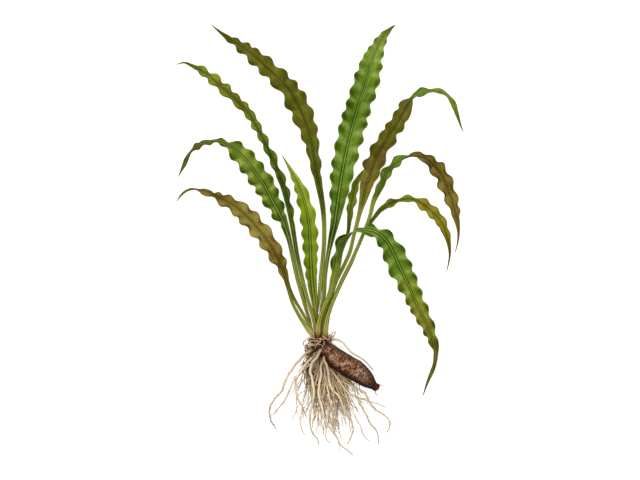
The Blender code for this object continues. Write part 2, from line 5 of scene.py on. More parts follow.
import bpy
import numpy as np
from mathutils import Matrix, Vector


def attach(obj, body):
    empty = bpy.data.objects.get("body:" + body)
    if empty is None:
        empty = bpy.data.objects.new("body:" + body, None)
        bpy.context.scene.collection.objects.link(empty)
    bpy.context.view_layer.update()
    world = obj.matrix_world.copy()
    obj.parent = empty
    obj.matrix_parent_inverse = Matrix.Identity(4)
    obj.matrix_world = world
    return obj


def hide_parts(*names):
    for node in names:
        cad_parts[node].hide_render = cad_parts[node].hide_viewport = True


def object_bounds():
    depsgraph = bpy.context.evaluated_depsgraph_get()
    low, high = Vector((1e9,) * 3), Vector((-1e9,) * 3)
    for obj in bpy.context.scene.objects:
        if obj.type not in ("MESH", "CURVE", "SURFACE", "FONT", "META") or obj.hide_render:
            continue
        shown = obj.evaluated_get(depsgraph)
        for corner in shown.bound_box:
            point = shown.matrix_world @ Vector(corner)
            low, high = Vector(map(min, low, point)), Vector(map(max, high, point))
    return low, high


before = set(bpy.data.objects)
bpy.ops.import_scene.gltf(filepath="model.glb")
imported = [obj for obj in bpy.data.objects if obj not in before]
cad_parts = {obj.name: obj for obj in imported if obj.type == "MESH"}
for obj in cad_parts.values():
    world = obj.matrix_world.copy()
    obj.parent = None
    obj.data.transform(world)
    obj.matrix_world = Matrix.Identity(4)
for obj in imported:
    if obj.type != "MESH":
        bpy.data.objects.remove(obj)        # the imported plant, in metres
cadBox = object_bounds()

mm = 0.001


# Small helpers for numbers and colours

def linearColour(rgb):
    # colours are written 0 to 255, as a picture shows them
    channels = [v / 255 for v in rgb]
    return [v / 12.92 if v <= 0.04045 else ((v + 0.055) / 1.055) ** 2.4 for v in channels] + [1.0]


def blended(a, b, share=0.65):
    return tuple(u + (v - u) * share for u, v in zip(a, b))


def smoothStep(value, low, high):
    share = np.clip((value - low) / (high - low), 0, 1)
    return share * share * (3 - 2 * share)


def unit(rows):
    return rows / np.linalg.norm(rows, axis=-1, keepdims=True)


def knotPlaces(rows):
    # how far along a route each of its rows is
    return np.concatenate([[0], np.cumsum(np.linalg.norm(np.diff(rows[:, :3], axis=0), axis=1))])


def followRoute(rows, step):
    # a smooth curve through the rows: distances along it, its values there and their slopes
    rows = np.array(rows, float)
    knots = knotPlaces(rows)
    spans = np.diff(knots)[:, None]
    rise = np.diff(rows, axis=0) / spans
    inner = (rise[:-1] * spans[1:] + rise[1:] * spans[:-1]) / (spans[1:] + spans[:-1])
    slopes = np.vstack([rise[:1], inner, rise[-1:]])
    places = np.linspace(0, knots[-1], max(3, round(knots[-1] / step)) + 1)
    i = np.clip(np.searchsorted(knots, places, side="right") - 1, 0, len(rows) - 2)
    span = spans[i]
    t = (places - knots[i])[:, None] / span
    value = ((2 * t**3 - 3 * t**2 + 1) * rows[i] + (t**3 - 2 * t**2 + t) * span * slopes[i]
             + (3 * t**2 - 2 * t**3) * rows[i + 1] + (t**3 - t**2) * span * slopes[i + 1])
    slope = ((6 * t**2 - 6 * t) * (rows[i] - rows[i + 1]) / span + (3 * t**2 - 4 * t + 1) * slopes[i]
             + (3 * t**2 - 2 * t) * slopes[i + 1])
    return places, value, slope


def sideways(forward):
    # left and up of a route that never stands upright
    left = unit(np.cross((0.0, 0.0, 1.0), forward))
    return left, np.cross(forward, left)


# Helpers for meshes

def addObject(name, data):
    # puts a mesh, a light or a camera in the scene
    made = bpy.data.objects.new(name, data)
    bpy.context.scene.collection.objects.link(made)
    return made


def addValue(mesh, key, numbers):
    layer = mesh.attributes.new(key, "FLOAT", "POINT")
    layer.data.foreach_set("value", np.ascontiguousarray(numbers, np.float32).ravel())


def ringFaces(count, size):
    # the faces between rings of points, one ring after the other
    return [(k * size + i, k * size + (i + 1) % size, (k + 1) * size + (i + 1) % size, (k + 1) * size + i)
            for k in range(count - 1) for i in range(size)]


def ringMesh(name, rings, values, material):
    # closed skin over rings of points in mm, with one float attribute for each entry of values
    count, size = rings.shape[:2]
    ends = [tuple(range(size - 1, -1, -1)), tuple(range((count - 1) * size, count * size))]
    mesh = bpy.data.meshes.new(name)
    mesh.from_pydata((rings.reshape(-1, 3) * mm).tolist(), [], ringFaces(count, size) + ends)
    for key, numbers in values.items():
        addValue(mesh, key, numbers)
    mesh.shade_smooth()
    mesh.materials.append(material)
    return addObject(name, mesh)


def finishPiece(piece, nodes=()):
    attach(piece, "root")
    if nodes:
        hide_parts(*nodes)


# Helpers for materials

def newMaterial(name, roughness, specular):
    material = bpy.data.materials.new(name)
    material.use_nodes = True
    shader = material.node_tree.nodes["Principled BSDF"]
    shader.inputs["Roughness"].default_value = roughness
    shader.inputs["Specular IOR Level"].default_value = specular
    return material, material.node_tree, shader


def joined(tree, kind, sources, output=0, **settings):
    # a node with its inputs linked or set, and the output that is used
    made = tree.nodes.new(kind)
    for key, value in settings.items():
        setattr(made, key, value)
    for key, source in sources.items():
        if isinstance(source, bpy.types.NodeSocket):
            tree.links.new(source, made.inputs[key])
        else:
            made.inputs[key].default_value = source
    return made.outputs[output]


def surfaceValue(tree, name):
    return joined(tree, "ShaderNodeAttribute", {}, "Fac", attribute_name=name)


def calc(tree, operation, a, b=0.0):
    return joined(tree, "ShaderNodeMath", {0: a, 1: b}, operation=operation)


def eased(tree, value, low, high, amount=1.0):
    # 0 below low, then up smoothly to amount at high; low may be the larger one
    return joined(tree, "ShaderNodeMapRange", {0: value, 1: low, 2: high, 3: 0.0, 4: amount},
                  interpolation_type="SMOOTHSTEP")


def noise(tree, scale, detail=3.0, vector=None, distortion=0.0):
    vector = vector or joined(tree, "ShaderNodeTexCoord", {}, "Object")
    return joined(tree, "ShaderNodeTexNoise", {"Vector": vector, "Scale": scale, "Detail": detail,
                                               "Distortion": distortion}, "Fac")


def blendColour(tree, factor, a, b, kind="MIX"):
    a = linearColour(a) if isinstance(a, tuple) else a
    b = linearColour(b) if isinstance(b, tuple) else b
    return joined(tree, "ShaderNodeMix", {0: factor, 6: a, 7: b}, 2, data_type="RGBA", blend_type=kind)


def layered(tree, colour, layers, sources, colours):
    # lays paints over a colour. Each has how it blends and its colour, then, if any, what it follows, where
    # in that it sets in, is full and how much of it then shows, and the area that it keeps to
    for kind, paint, *rest in layers:
        follows, span, area = (rest + [None] * 3)[:3]
        amount = sources[follows] if follows else 1.0
        amount = eased(tree, amount, *span) if span else amount
        amount = calc(tree, "MULTIPLY", amount, sources[area]) if area else amount
        colour = blendColour(tree, amount, colour, colours.get(paint, paint), kind)
    return colour


def overlap(tree, sources, parts):
    # where several things come together: what each follows, and where in that it sets in and is full
    masks = [eased(tree, sources[follows], *span) for follows, span in parts]
    return reduce(partial(calc, tree, "MULTIPLY"), masks)


def colourRamp(tree, value, stops):
    made = tree.nodes.new("ShaderNodeValToRGB")
    tree.links.new(value, made.inputs[0])
    points = made.color_ramp.elements
    while len(points) < len(stops):
        points.new(1.0)
    for point, (place, rgb) in zip(points, stops):
        point.position = place
        point.color = linearColour(rgb)
    return made.outputs[0]


def finishPaint(tree, shader, colour, relief=None, strength=0.0, depth=0.0):
    # the colour and, where there is one, the fine relief: its strength, and its depth in metres
    tree.links.new(colour, shader.inputs["Base Color"])
    if relief:
        bump = joined(tree, "ShaderNodeBump", {"Height": relief, "Strength": strength, "Distance": depth})
        tree.links.new(bump, shader.inputs["Normal"])


# Leaves

leafForm = {
    "ringStep": 0.8,             # mm between sections
    "halfColumns": (0, .03, .065, .11, .17, .25, .35, .47, .59, .71, .82, .91, .97, 1),
    "stalkThickness": 2.3, "tipThickness": 0.4, "thicknessToWidth": 0.8, "taperPower": 0.8,
    "bladeStart": (1.25, 2.2),   # the stalk turns into the blade between these times the stalk's width
    "stalkAt": 0.2, "sheathEnd": 0.12,          # shares of the leaf's length
    "bladeThickness": 0.34, "ribWidth": 0.52, "ribShare": 0.42, "ribTaper": 1.35,
    "groove": 0.16, "grooveAt": 1.9,    # beside the midrib: depth in mm, and place in rib widths
    "ruffleStart": 3.4, "ruffleFull": 8.0,      # blade widths between which the ruffle grows
    "bump": 1.4, "wave": 1.5,                   # how far a crest stands out and up, mm
    "usualPitch": 9.5,           # crests closer together than this stand out less
    "pitchRange": (0.5, 1.15),   # the smallest and largest share that this gives a crest
    "lobePower": 2.5, "reach": 1.7,             # rounder lobes, and how close to the rib a crest reaches
    "uneven": 0.1, "endLobes": 0.85, "endFade": (0.9, 0.3),   # lobes past the last crest where it fades
    "puff": 0.3, "puffWave": 0.4,               # how far a blade's halves bulge, more so at a crest
    "thinning": 0.8, "ribSpread": 2.0, "underRib": 0.8, "stalkDip": 0.3, "stalkDipWidth": 0.25,
    "turnedWave": 0.6,           # how much the waves flatten where the blade is turned on its side
    "keel": 11.0, "keelFull": 0.2,              # degrees that each half is folded up, and where fully so
    "slant": 0.35,               # how far the waves lean towards the tip between rib and margin
    "veinPitch": 1.9, "veinSlant": 1.1,         # the fine veins that run from the midrib to the margin
    "baseReach": (16, 2),        # mm from the crown between which the pale base grows
    "lowest": 0.05,              # mm above the surface
    "paintLength": 300.0,        # mm from the tip that a colour ramp covers
    "firstSeed": 11,
}

leafPaint = {
    "roughness": 0.5, "specular": 0.05, "relief": 0.3, "reliefDepth": 0.00012,
    "stalkBlend": 0.08,          # share of paintLength in which the blade's paint turns into the stalk's
    # noise: scale and detail
    "noises": {"mottle": (420.0, 3.0), "broadClouds": (48.0, 2.0), "smallClouds": (150.0, 2.0),
               "spots": (180.0, 3.0), "rimSpots": (110.0, 3.0)},
    "blotches": (75.0, 4.0, 0.5),               # scale, detail and distortion
    # noise drawn out along the leaf: its length in mm, and its repeats over half the width
    "strands": {"veins": (16.0, 4.5), "strands": (26.0, 1.6), "paleStrands": (40.0, 2.4)},
    # one paint over the other, written as layered takes them; a name stands for a colour of the leaf's look
    "layers": [
        ("MIX", "patch", "blotches", (0.5, 0.72, 0.45), "blade"),
        ("MULTIPLY", (190, 200, 150), "mottle", (0.42, 0.7, 0.3)),
        ("SCREEN", "paleTintAndHighlight", "broadClouds", (0.5, 0.68, 0.25), "blade"),
        ("MULTIPLY", "darkTintAndShade", "broadClouds", (0.46, 0.3, 0.25), "blade"),
        ("SCREEN", "paleTintAndHighlight", "smallClouds", (0.5, 0.68, 0.32), "blade"),
        ("MULTIPLY", "darkTintAndShade", "smallClouds", (0.46, 0.3, 0.32), "blade"),
        ("SCREEN", "paleTintAndHighlight", "veins", (0.52, 0.7, 0.4), "blade"),
        ("MULTIPLY", "darkTintAndShade", "veins", (0.46, 0.3, 0.5), "blade"),
        # painted highlight on one slope of each ruffle wave, painted shade on the other, and painted light
        # on the right half
        ("SCREEN", "paleTintAndHighlight", "crests", None, "blade"),
        ("MULTIPLY", "darkTintAndShade", "paintedRuffleShade", None, "blade"),
        ("SCREEN", "paleTintAndHighlight", "paintedLitSide", None, "blade"),
        ("MULTIPLY", (190, 205, 140), "crossVeins", (0.3, 1.0, 0.3), "blade"),
        ("MIX", "margin", "rim", None, "blade"),
        ("MULTIPLY", "line", "ribLines", None, "blade"),
        ("SCREEN", "rib", "midrib", None, "blade"),
        ("SCREEN", (120, 124, 62), None, None, "stalk"),
        ("MULTIPLY", "stalkShading", None, None, "stalk"),
        ("MIX", (108, 94, 36), "strands", (0.48, 0.64, 0.42), "stalk"),
        ("SCREEN", (92, 96, 60), "paleStrands", (0.5, 0.64, 0.7), "stalk"),
        ("MIX", "base", "strands", (0.74, 0.42, 0.92), "base"),
        ("MULTIPLY", (252, 252, 208))],
    # the values between which the painted highlight on the crests, the painted shade in the notches and the
    # painted light on the right side set in
    "crest": (0.0, 0.95), "notch": (0.1, -0.85), "paintedLitSide": (0.1, -0.4),
    # the same in shares of the half width: the painted highlight comes and goes again, the painted shade
    # comes
    "lightComes": (0.05, 0.45), "lightGoes": (1.0, 0.82), "darkComes": (0.3, 0.85),
    "rim": [("wide", (0.84, 1.0, 0.65)), ("rimSpots", (0.42, 0.58))],
    "spotRange": (0.38, 0.6), "spotLight": (0.35, 1.0), "crossWander": 7.0, "crossRelief": -0.5,
    # rib widths over which the edges of the lines and of the midrib are soft, and how much of them shows
    "lineEdge": 0.9, "gapEdge": 0.6, "ribEdge": (0.4, -0.1), "lineShare": 0.92, "ribShare": 0.85,
}

# How a leaf is painted: the pale tint and rib are added, the dark tint and line are multiplied in, margin
# and patch are mixed in. The pale tint lightens clouds and veins and is also the painted highlight; the
# dark tint darkens clouds and veins and is also the painted shade. tone: 1 for a painted highlight on the
# crests and painted shade in the notches,
# -1 for the reverse; fade and depth: how light the painted highlight and how dark the painted shade get.
# gap is how much lighter the midrib's middle is than the lines beside it, from gapWidth to lineEnd.
# ribShown is how plain the midrib is above and below, lineReach where its lines fade. fold bends the halves
# of a blade that is turned on its side, and lobe is the size of its waves
usualLook = {"fold": 0, "foldPower": 1, "lobe": 1.0, "paintedRightLight": 0.0, "ribShown": (1.0, 0.35),
             "lineReach": (0.6, 0.45), "base": (180, 162, 126)}
greenLook = dict(
    usualLook, slot="leaf_green", paleTintAndHighlight=(104, 112, 84), darkTintAndShade=(150, 172, 40), margin=(134, 150, 60),
    line=(90, 118, 30), rib=(104, 108, 66), patch=(112, 112, 30), tone=-1.0, fade=0.95, depth=1.0,
    gap=0.95, gapWidth=0.8, lineEnd=3.5)
oliveLook = dict(
    usualLook, slot="leaf_olive", paleTintAndHighlight=(78, 74, 48), darkTintAndShade=(160, 166, 96), margin=(146, 120, 66),
    line=(70, 78, 28), rib=(50, 54, 24), patch=(112, 82, 30), tone=-0.5, fade=0.9, depth=0.7,
    gap=0.8, gapWidth=0.5, lineEnd=2.5)
brownLook = dict(
    usualLook, slot="leaf_brown", paleTintAndHighlight=(88, 82, 62), darkTintAndShade=(160, 140, 84), margin=(156, 116, 80),
    line=(78, 70, 30), rib=(64, 60, 36), patch=(128, 88, 48), tone=0.8, fade=0.95, depth=0.8,
    gap=0.8, gapWidth=0.5, lineEnd=2.5)

# Painted shading across a stalk, multiplied in: painted shade at the edges and in the groove, painted
# highlight on the two ridges
stalkPaintedShading = [(0.0, (66, 70, 32)), (0.12, (128, 130, 84)), (0.28, (255, 255, 242)),
                (0.4, (200, 202, 160)), (0.5, (92, 96, 50)), (0.6, (200, 202, 160)),
                (0.74, (255, 255, 242)), (0.88, (128, 130, 84)), (1.0, (66, 70, 32))]

# Stations run from the crown to the tip: x, y, z, width and, if any, roll; mm and degrees.
# Each margin's crests are given by their distances from the tip, and so are the colours; a crest that
# stands out more or less than usual has its share beside it. stalk is where the stalk's paint begins.
leaves = {
    "leaf_tall": dict(
        greenLook, stalk=198,
        left=[(11, 0.6), (19, 0.6), (27, 0.8), (32.5, 0.5), (39.5, 0.7), 49.5, 64, 73, 83.5, 93.5, 108,
              122, 132.5, (147, 0.75), (158.5, 0.6)],
        right=[(17, 0.6), (27, 0.7), 38, (50.5, 0.75), 62.5, (76.5, 0.85), 85.5, 99.5, 113.5, (131, 0.6),
               (143, 0.4)],
        top=[(0, (84, 106, 4)), (10, (92, 114, 10)), (24, (142, 160, 88)), (45, (112, 138, 42)),
             (75, (76, 108, 8)), (105, (108, 138, 44)), (138, (94, 128, 36)), (155, (72, 108, 16)),
             (178, (58, 92, 4)), (200, (92, 114, 36)), (225, (118, 124, 58)), (250, (128, 128, 70))],
        under=[(0, (100, 128, 40)), (250, (130, 144, 70))],
        stations=[
            (1.5, -78.5, 7.4, 2.3), (1, -65.5, 7.4, 2.4), (1, -55.5, 7.4, 2.7), (3, -45.5, 7.2, 3.2),
            (4, -29.5, 6.9, 3.4), (7, -9.5, 6, 3.7), (9.5, 2.5, 4.6, 5.2), (12, 14.5, 4.2, 7.6),
            (13.5, 24.5, 4.2, 10.4), (15.5, 39, 4.4, 14.8), (18, 54.5, 4.2, 18),
            (21.5, 72.5, 3.6, 19.6, 4), (26.5, 92.5, 3.8, 20.8, 5), (32, 111, 3.8, 20, 5),
            (38, 129.5, 3.6, 20), (42, 144, 3.4, 16.4), (46.5, 154.5, 3.2, 11.2, -5),
            (51, 163, 2.6, 7.2, -5), (56, 168.5, 1.6, 3.4), (60.5, 172.5, 0.5, 0.5)]),
    "leaf_olive": dict(
        oliveLook, lobe=1.3, stalk=182,
        left=[(18, 1.4), 30.5, 44.5, 56.5, (69.5, 1.1), (93, 1.4), (107, 0.65), (123.5, 0.75),
              (135, 0.35), (150, 0.3)],
        right=[23.5, 33.5, (40.5, 0.8), 53, (69.5, 0.9), (80.5, 0.85), 90.5, (105.5, 0.7), (118.5, 0.65),
               (129, 0.5), (145.5, 0.7)],
        top=[(0, (100, 100, 24)), (25, (88, 88, 14)), (55, (98, 98, 26)), (80, (84, 88, 10)),
             (105, (94, 100, 20)), (150, (84, 94, 14)), (172, (76, 88, 8)), (200, (140, 150, 74)),
             (218, (160, 168, 92)), (240, (204, 206, 160))],
        under=[(0, (110, 112, 36)), (250, (130, 140, 70))],
        stations=[
            (-1.5, -78.5, 7.2, 2.3), (-2.5, -67.5, 5.4, 2.5), (-2.5, -57.5, 4.8, 2.7),
            (-0.5, -45, 4.4, 3.2), (1, -28.5, 4.2, 3.4), (3, -8, 4, 3.4), (3.5, 6.5, 3.8, 3.5),
            (2.5, 24.5, 3.5, 4.2), (-0.5, 42.5, 3.3, 5.6), (-3.5, 59, 3.2, 8.4), (-6, 74, 3.3, 10.8),
            (-9, 87, 3.4, 14), (-14.5, 101.5, 3.6, 17.2), (-21, 115, 3.6, 16.4),
            (-29.5, 126, 3.6, 14.8), (-40.5, 136.5, 3.5, 13.6), (-52.5, 147, 3.4, 12),
            (-62, 154.5, 3, 8.8), (-72.5, 161, 2.3, 5), (-80, 166.5, 1.6, 2.4), (-87, 172.5, 0.5, 0.5)]),
    "leaf_narrow": dict(
        oliveLook, paleTintAndHighlight=(104, 114, 50), patch=(122, 88, 22), tone=0.5, stalk=196,
        left=[(13.5, 2.4), 23.5, 34, 47, 63, 75, (84.5, 2.3), (95, 1.4), (105.5, 1.5), (119, 1.2),
              (131, 0.3)],
        right=[(21.5, 2.3), (35, 1.1), (46.5, 1.4), (57, 0.7), 66.5, (75.5, 0.4), (85.5, 0.6), (97, 0.85),
               (112, 1.2), 132, (143, 1.1), (158.5, 2.2)],
        top=[(0, (76, 76, 8)), (14, (98, 104, 20)), (24, (108, 122, 38)), (38, (122, 134, 48)),
             (56, (98, 98, 24)), (72, (102, 108, 28)), (86, (108, 126, 42)), (100, (84, 106, 24)),
             (122, (44, 72, 0)), (140, (58, 80, 6)), (175, (74, 98, 16)), (205, (108, 126, 46)),
             (235, (134, 140, 74))],
        under=[(0, (100, 120, 36)), (250, (130, 140, 70))],
        stations=[
            (-3, -78.5, 10.8, 2.4), (-4, -69, 10.4, 2.9), (-6, -59.5, 9.8, 3.2), (-10, -47.5, 8.4, 3.2),
            (-14.5, -29.5, 6.6, 3.4), (-18.5, -10.5, 5.8, 3.5), (-20.8, 4, 5.4, 3.8),
            (-24.5, 25.5, 3.6, 5), (-28.5, 41.5, 3.5, 5.9, 10), (-34.5, 57, 3.7, 6.4, 20),
            (-42.5, 74.5, 3.9, 6.4, 25), (-49.5, 88.5, 3.8, 6.8, 20), (-57, 101.5, 3.6, 7.2, 10),
            (-66.5, 111.5, 3.5, 7.5), (-78.5, 122.5, 3.4, 8.3), (-88, 131, 3.2, 7.8),
            (-95.5, 136, 2.8, 5.6), (-102.5, 139.5, 2.2, 3), (-108.5, 142, 1.5, 1.6),
            (-115, 140.5, 0.5, 0.5)]),
    "leaf_arched": dict(
        greenLook, paleTintAndHighlight=(104, 112, 66), fold=-25, stalk=144,
        left=[30, 41, (51.5, 1.2), 64, (80, 1.3), (91.5, 1.1), 103, 113.5, (127, 1.8)],
        right=[(21.5, 1.5), (29, 0.6), (35.5, 1.3), (48, 0.5), (62, 0.9), (74.5, 0.7), 85.5, (98.5, 0.85),
               (109, 0.9), 121],
        top=[(0, (104, 96, 28)), (24, (74, 62, 0)), (44, (84, 80, 2)), (56, (88, 106, 16)),
             (72, (120, 140, 60)), (90, (106, 126, 46)), (118, (86, 110, 24)), (140, (52, 80, 0)),
             (154, (66, 92, 4)), (170, (110, 122, 42)), (200, (140, 142, 74)), (225, (124, 118, 56))],
        under=[(0, (112, 106, 36)), (60, (92, 88, 8)), (250, (120, 130, 60))],
        stations=[
            (-6.5, -78.5, 7.8, 2.3), (-8, -65.5, 7.6, 2.6), (-11, -55.5, 7, 2.9), (-14, -45, 6.4, 3.2),
            (-18, -30.5, 5.2, 3.4), (-22, -12, 4.6, 3.7), (-25, 1.5, 4.1, 4.4), (-29, 13.5, 4.7, 7.2),
            (-33.5, 23, 4.8, 11.5), (-39, 33, 4.4, 14.4), (-44.5, 44, 4.2, 16.8), (-51, 53, 4.4, 16.4),
            (-58.5, 63, 5.2, 16, 10), (-66.5, 71, 6.6, 14.4, 12), (-74, 76.5, 8, 7.2, 28),
            (-79.5, 79.2, 8.2, 6.2, 38), (-83.5, 79.4, 8, 3.6, 40), (-88, 78.8, 7.5, 6.2, 40),
            (-92, 78, 7, 5, 38), (-98.5, 75, 6, 6.4, 30), (-103, 71, 5, 2.6, 35),
            (-106, 66.5, 4, 3.9, 28), (-108.5, 60.5, 3, 3.6, 10), (-111, 55.5, 1.9, 1.8),
            (-113.5, 50.5, 0.5, 0.5)]),
    "leaf_brown": dict(
        brownLook, fold=-22, lobe=1.05, stalk=128,
        left=[(28.5, 1.6), (44, 1.5), (58, 0.8), (67, 1.25), (81, 1.15), (94, 1.2), 108, 122],
        right=[38, (46.5, 0.6), (60, 0.7), 71, 85.5, (103, 0.7), 113.5],
        top=[(0, (120, 112, 48)), (20, (108, 92, 28)), (40, (104, 84, 16)), (60, (142, 126, 62)),
             (90, (138, 124, 62)), (108, (106, 92, 28)), (135, (108, 94, 24)), (150, (130, 130, 58)),
             (172, (142, 150, 78))],
        under=[(0, (92, 84, 22)), (250, (126, 126, 60))],
        stations=[
            (-5.3, -78.5, 13.8, 3.7), (-5.8, -76.3, 13.8, 4.0), (-8.8, -72, 13.4, 4.5),
            (-12.5, -67, 12.2, 3.5), (-17.5, -59, 10.4, 2.9), (-22.5, -49, 8.6, 2.7),
            (-25.5, -38.5, 7.2, 3), (-28, -28, 6.6, 5.9), (-32.5, -17, 6.2, 10.4),
            (-37.5, -7.5, 5.8, 12.8), (-44, 2.5, 5.1, 13.8), (-51.5, 11.5, 4.5, 14.2),
            (-59.5, 20, 4.3, 14.2), (-66.5, 26, 4.4, 12), (-71.5, 29, 4.8, 10.4, 10),
            (-77, 32.5, 5.3, 10, 25), (-83.5, 36, 5.8, 8.8, 50), (-89, 38.5, 5.8, 8, 50),
            (-94.5, 40, 5.4, 6.8, 52), (-99, 41, 5, 5.2, 80), (-103, 41, 4.1, 3.7, 55),
            (-107.5, 39, 3, 2.6, 35), (-111.5, 35.5, 1.9, 1.8, 10), (-114.5, 31, 0.5, 0.5)]),
    "leaf_young": dict(
        brownLook, stalk=30,
        left=[12, 24],
        right=[18, 30],
        top=[(0, (142, 120, 58)), (20, (130, 112, 46)), (44, (100, 92, 22)), (80, (130, 130, 72))],
        under=[(0, (110, 100, 40)), (80, (128, 130, 60))],
        stations=[
            (-6, -78.5, 10.6, 2.4), (-7, -70, 10, 2.6), (-11, -63.5, 9, 2.6), (-15, -56.5, 7.8, 2.6),
            (-19.5, -49, 6, 2.6), (-24, -39, 3.6, 2.4), (-27, -29.5, 2.6, 2.9),
            (-31.5, -19.5, 2.4, 3.2), (-35.5, -11.5, 1.8, 2.1), (-39, -5.5, 0.5, 0.5)]),
    "leaf_short": dict(
        greenLook, slot="leaf_light", paleTintAndHighlight=(98, 100, 36), line=(120, 144, 60), gap=0.6, fade=0.7,
        depth=0.6, tone=-0.8, paintedRightLight=0.45, lobe=0.72, stalk=124,
        left=[(20, 1.3), 30, (40.5, 1.2), (57, 1.2), 68, 79, 91.5, (101.5, 0.7)],
        right=[35, (52, 1.3), (68, 1.2), 80, (89, 0.5), (98.5, 0.3)],
        top=[(0, (150, 164, 82)), (24, (146, 164, 62)), (42, (126, 150, 38)), (60, (110, 136, 20)),
             (95, (100, 126, 20)), (120, (124, 128, 36)), (140, (154, 142, 78))],
        under=[(0, (150, 166, 80)), (150, (120, 140, 50))],
        stations=[
            (-4, -78.5, 7.4, 2.3), (-3.5, -69, 8.2, 2.4), (-3.5, -59.5, 8.6, 2.8), (-4.5, -49, 8.6, 5),
            (-6, -37, 8.8, 7.4), (-7, -24, 8.8, 9.6), (-7.5, -9.5, 8, 11.5), (-8, 2.5, 6.8, 12.4),
            (-9, 14.5, 5.7, 12.3), (-10.5, 23, 5, 11.8), (-13, 32.5, 4.2, 10.6), (-17, 44, 3.4, 8),
            (-21.5, 52.5, 2.7, 4.8), (-26, 60.5, 1.8, 2.4), (-30.5, 68, 0.5, 0.5)]),
    "leaf_hooked": dict(
        brownLook, lineReach=(0.36, 0.2), fold=58, foldPower=8, lobe=1.1, tone=-0.4,
        stalk=160,
        left=[(14, 1.6), (22, 1.5), 44, (54.5, 0.5), (72, 0.65), (80, 0.65), (93, 1.1), (100, 0.6),
              (113, 1.1), (126.5, 1.8)],
        right=[(23.5, 1.4), 40, 53.5, (78, 0.4), (88, 0.8), (100, 1.5), (121.5, 0.85), (133, 0.35)],
        top=[(0, (112, 104, 24)), (30, (112, 124, 28)), (60, (82, 96, 10)), (75, (86, 92, 10)),
             (100, (100, 98, 22)), (120, (92, 80, 12)), (140, (120, 112, 42)), (155, (118, 112, 42)),
             (175, (144, 150, 74)), (215, (160, 160, 88)), (240, (152, 152, 80))],
        under=[(0, (112, 100, 24)), (26, (112, 130, 28)), (40, (130, 148, 64)), (50, (114, 140, 50)),
               (57, (104, 138, 52)), (66, (98, 136, 56)), (250, (120, 130, 50))],
        stations=[
            (1.5, -78.5, 10.6, 2.4), (2.5, -65.5, 10.4, 2.6), (4.5, -56.5, 10, 2.7), (8, -48, 9.4, 2.9),
            (13, -33, 8.4, 3), (19, -21, 7.8, 3), (24, -9.5, 7.4, 3), (27, 3, 7.2, 3),
            (29.5, 12.5, 7.4, 3.4), (32, 22.5, 7.6, 4), (35, 34, 7, 7.2), (37.5, 45, 6.2, 11),
            (41.5, 56, 5.5, 14.4), (45.5, 66.5, 5, 14.8), (49.5, 74, 5, 14.1), (55, 83.5, 5.2, 13.1),
            (61, 92, 6, 12.8, -3), (66, 100.5, 7.6, 12, -8), (70, 107.5, 9.2, 11.2, -24),
            (73.5, 112, 10.2, 8.8, -60), (77.5, 115.5, 10.2, 7, -125), (82, 117.5, 9.4, 6.8, -145),
            (86.5, 119, 8.6, 5.4, -140), (91, 119.5, 7.6, 4.6, -138), (96, 118.5, 6.6, 4.8, -142),
            (101.5, 116, 5.6, 4.2, -140), (105.5, 111, 4.5, 4.4, -152), (108.5, 104, 3.5, 3.9, -165),
            (111, 97, 2.6, 2.5, -180), (113, 91, 1.7, 1.4, -180), (115, 86.5, 0.5, 0.5, -180)]),
    "leaf_small": dict(
        oliveLook, patch=(112, 84, 24), stalk=78,
        left=[13.5, 24, 34],
        right=[17, 28, 40],
        top=[(0, (108, 124, 24)), (14, (110, 128, 20)), (26, (120, 136, 28)), (40, (98, 110, 22)),
             (56, (72, 90, 8)), (74, (76, 102, 4)), (90, (84, 98, 10)), (104, (104, 116, 32)),
             (120, (80, 84, 14)), (135, (112, 94, 54))],
        under=[(0, (90, 110, 26)), (135, (110, 112, 40))],
        stations=[
            (4.5, -78.5, 7.2, 2.3), (4, -69, 6.8, 2.4), (5, -58.5, 6.2, 2.4), (7, -49, 5.6, 2.4),
            (11, -32, 4.6, 2.4), (14.5, -16, 4, 2.4), (19.5, -2.5, 3.6, 2.4), (22.5, 6.5, 3, 2.7),
            (23.5, 15, 2.8, 3.7), (24.5, 25.5, 2.4, 5.8), (26.5, 35, 2, 6.6), (28, 42.5, 1.9, 5.6),
            (30.5, 48.5, 1.9, 4.4), (33, 52.5, 1.5, 3.2), (35.5, 56.5, 0.5, 0.5)]),
    "leaf_twisted": dict(
        brownLook, ribShown=(0.5, 1.0), lineReach=(0.36, 0.2), fold=30, foldPower=8,
        base=(166, 146, 100), stalk=138,
        left=[(28.5, 0.4), (43, 0.9), (56.5, 1.2), (70, 1.1), (86, 1.2), (106.5, 0.9), 121.5, 133],
        right=[33, (43, 0.75), 58, (71, 1.0), (80.5, 0.6), (90, 0.8), (107, 0.9), (120, 1.1)],
        top=[(0, (110, 100, 34)), (94, (98, 130, 46)), (106, (82, 118, 26)), (122, (76, 104, 16)),
             (138, (84, 108, 22)), (152, (140, 152, 78)), (172, (118, 140, 52)), (190, (142, 154, 68)),
             (240, (160, 166, 96))],
        under=[(0, (118, 90, 36)), (24, (110, 92, 26)), (40, (128, 112, 48)), (58, (114, 100, 34)),
               (76, (98, 80, 12)), (94, (108, 98, 24)), (250, (120, 110, 40))],
        stations=[
            (4, -78.5, 13.8, 3.7), (4.5, -72, 13.4, 4.3), (5.5, -64, 12.6, 3.7), (8, -55.5, 11.6, 3.2),
            (11, -47.5, 10.8, 3), (18, -31.5, 9.4, 2.9), (25, -17.5, 8.4, 2.9), (31, -4, 7.6, 2.9),
            (36, 8, 7.2, 2.9), (40, 19, 6.8, 3), (43, 31, 6.5, 4), (46, 38, 6.3, 5.1),
            (49.5, 45, 6.3, 6.1), (53.5, 54, 6.7, 7.4, -10), (57.5, 59, 7.4, 8.4, -42),
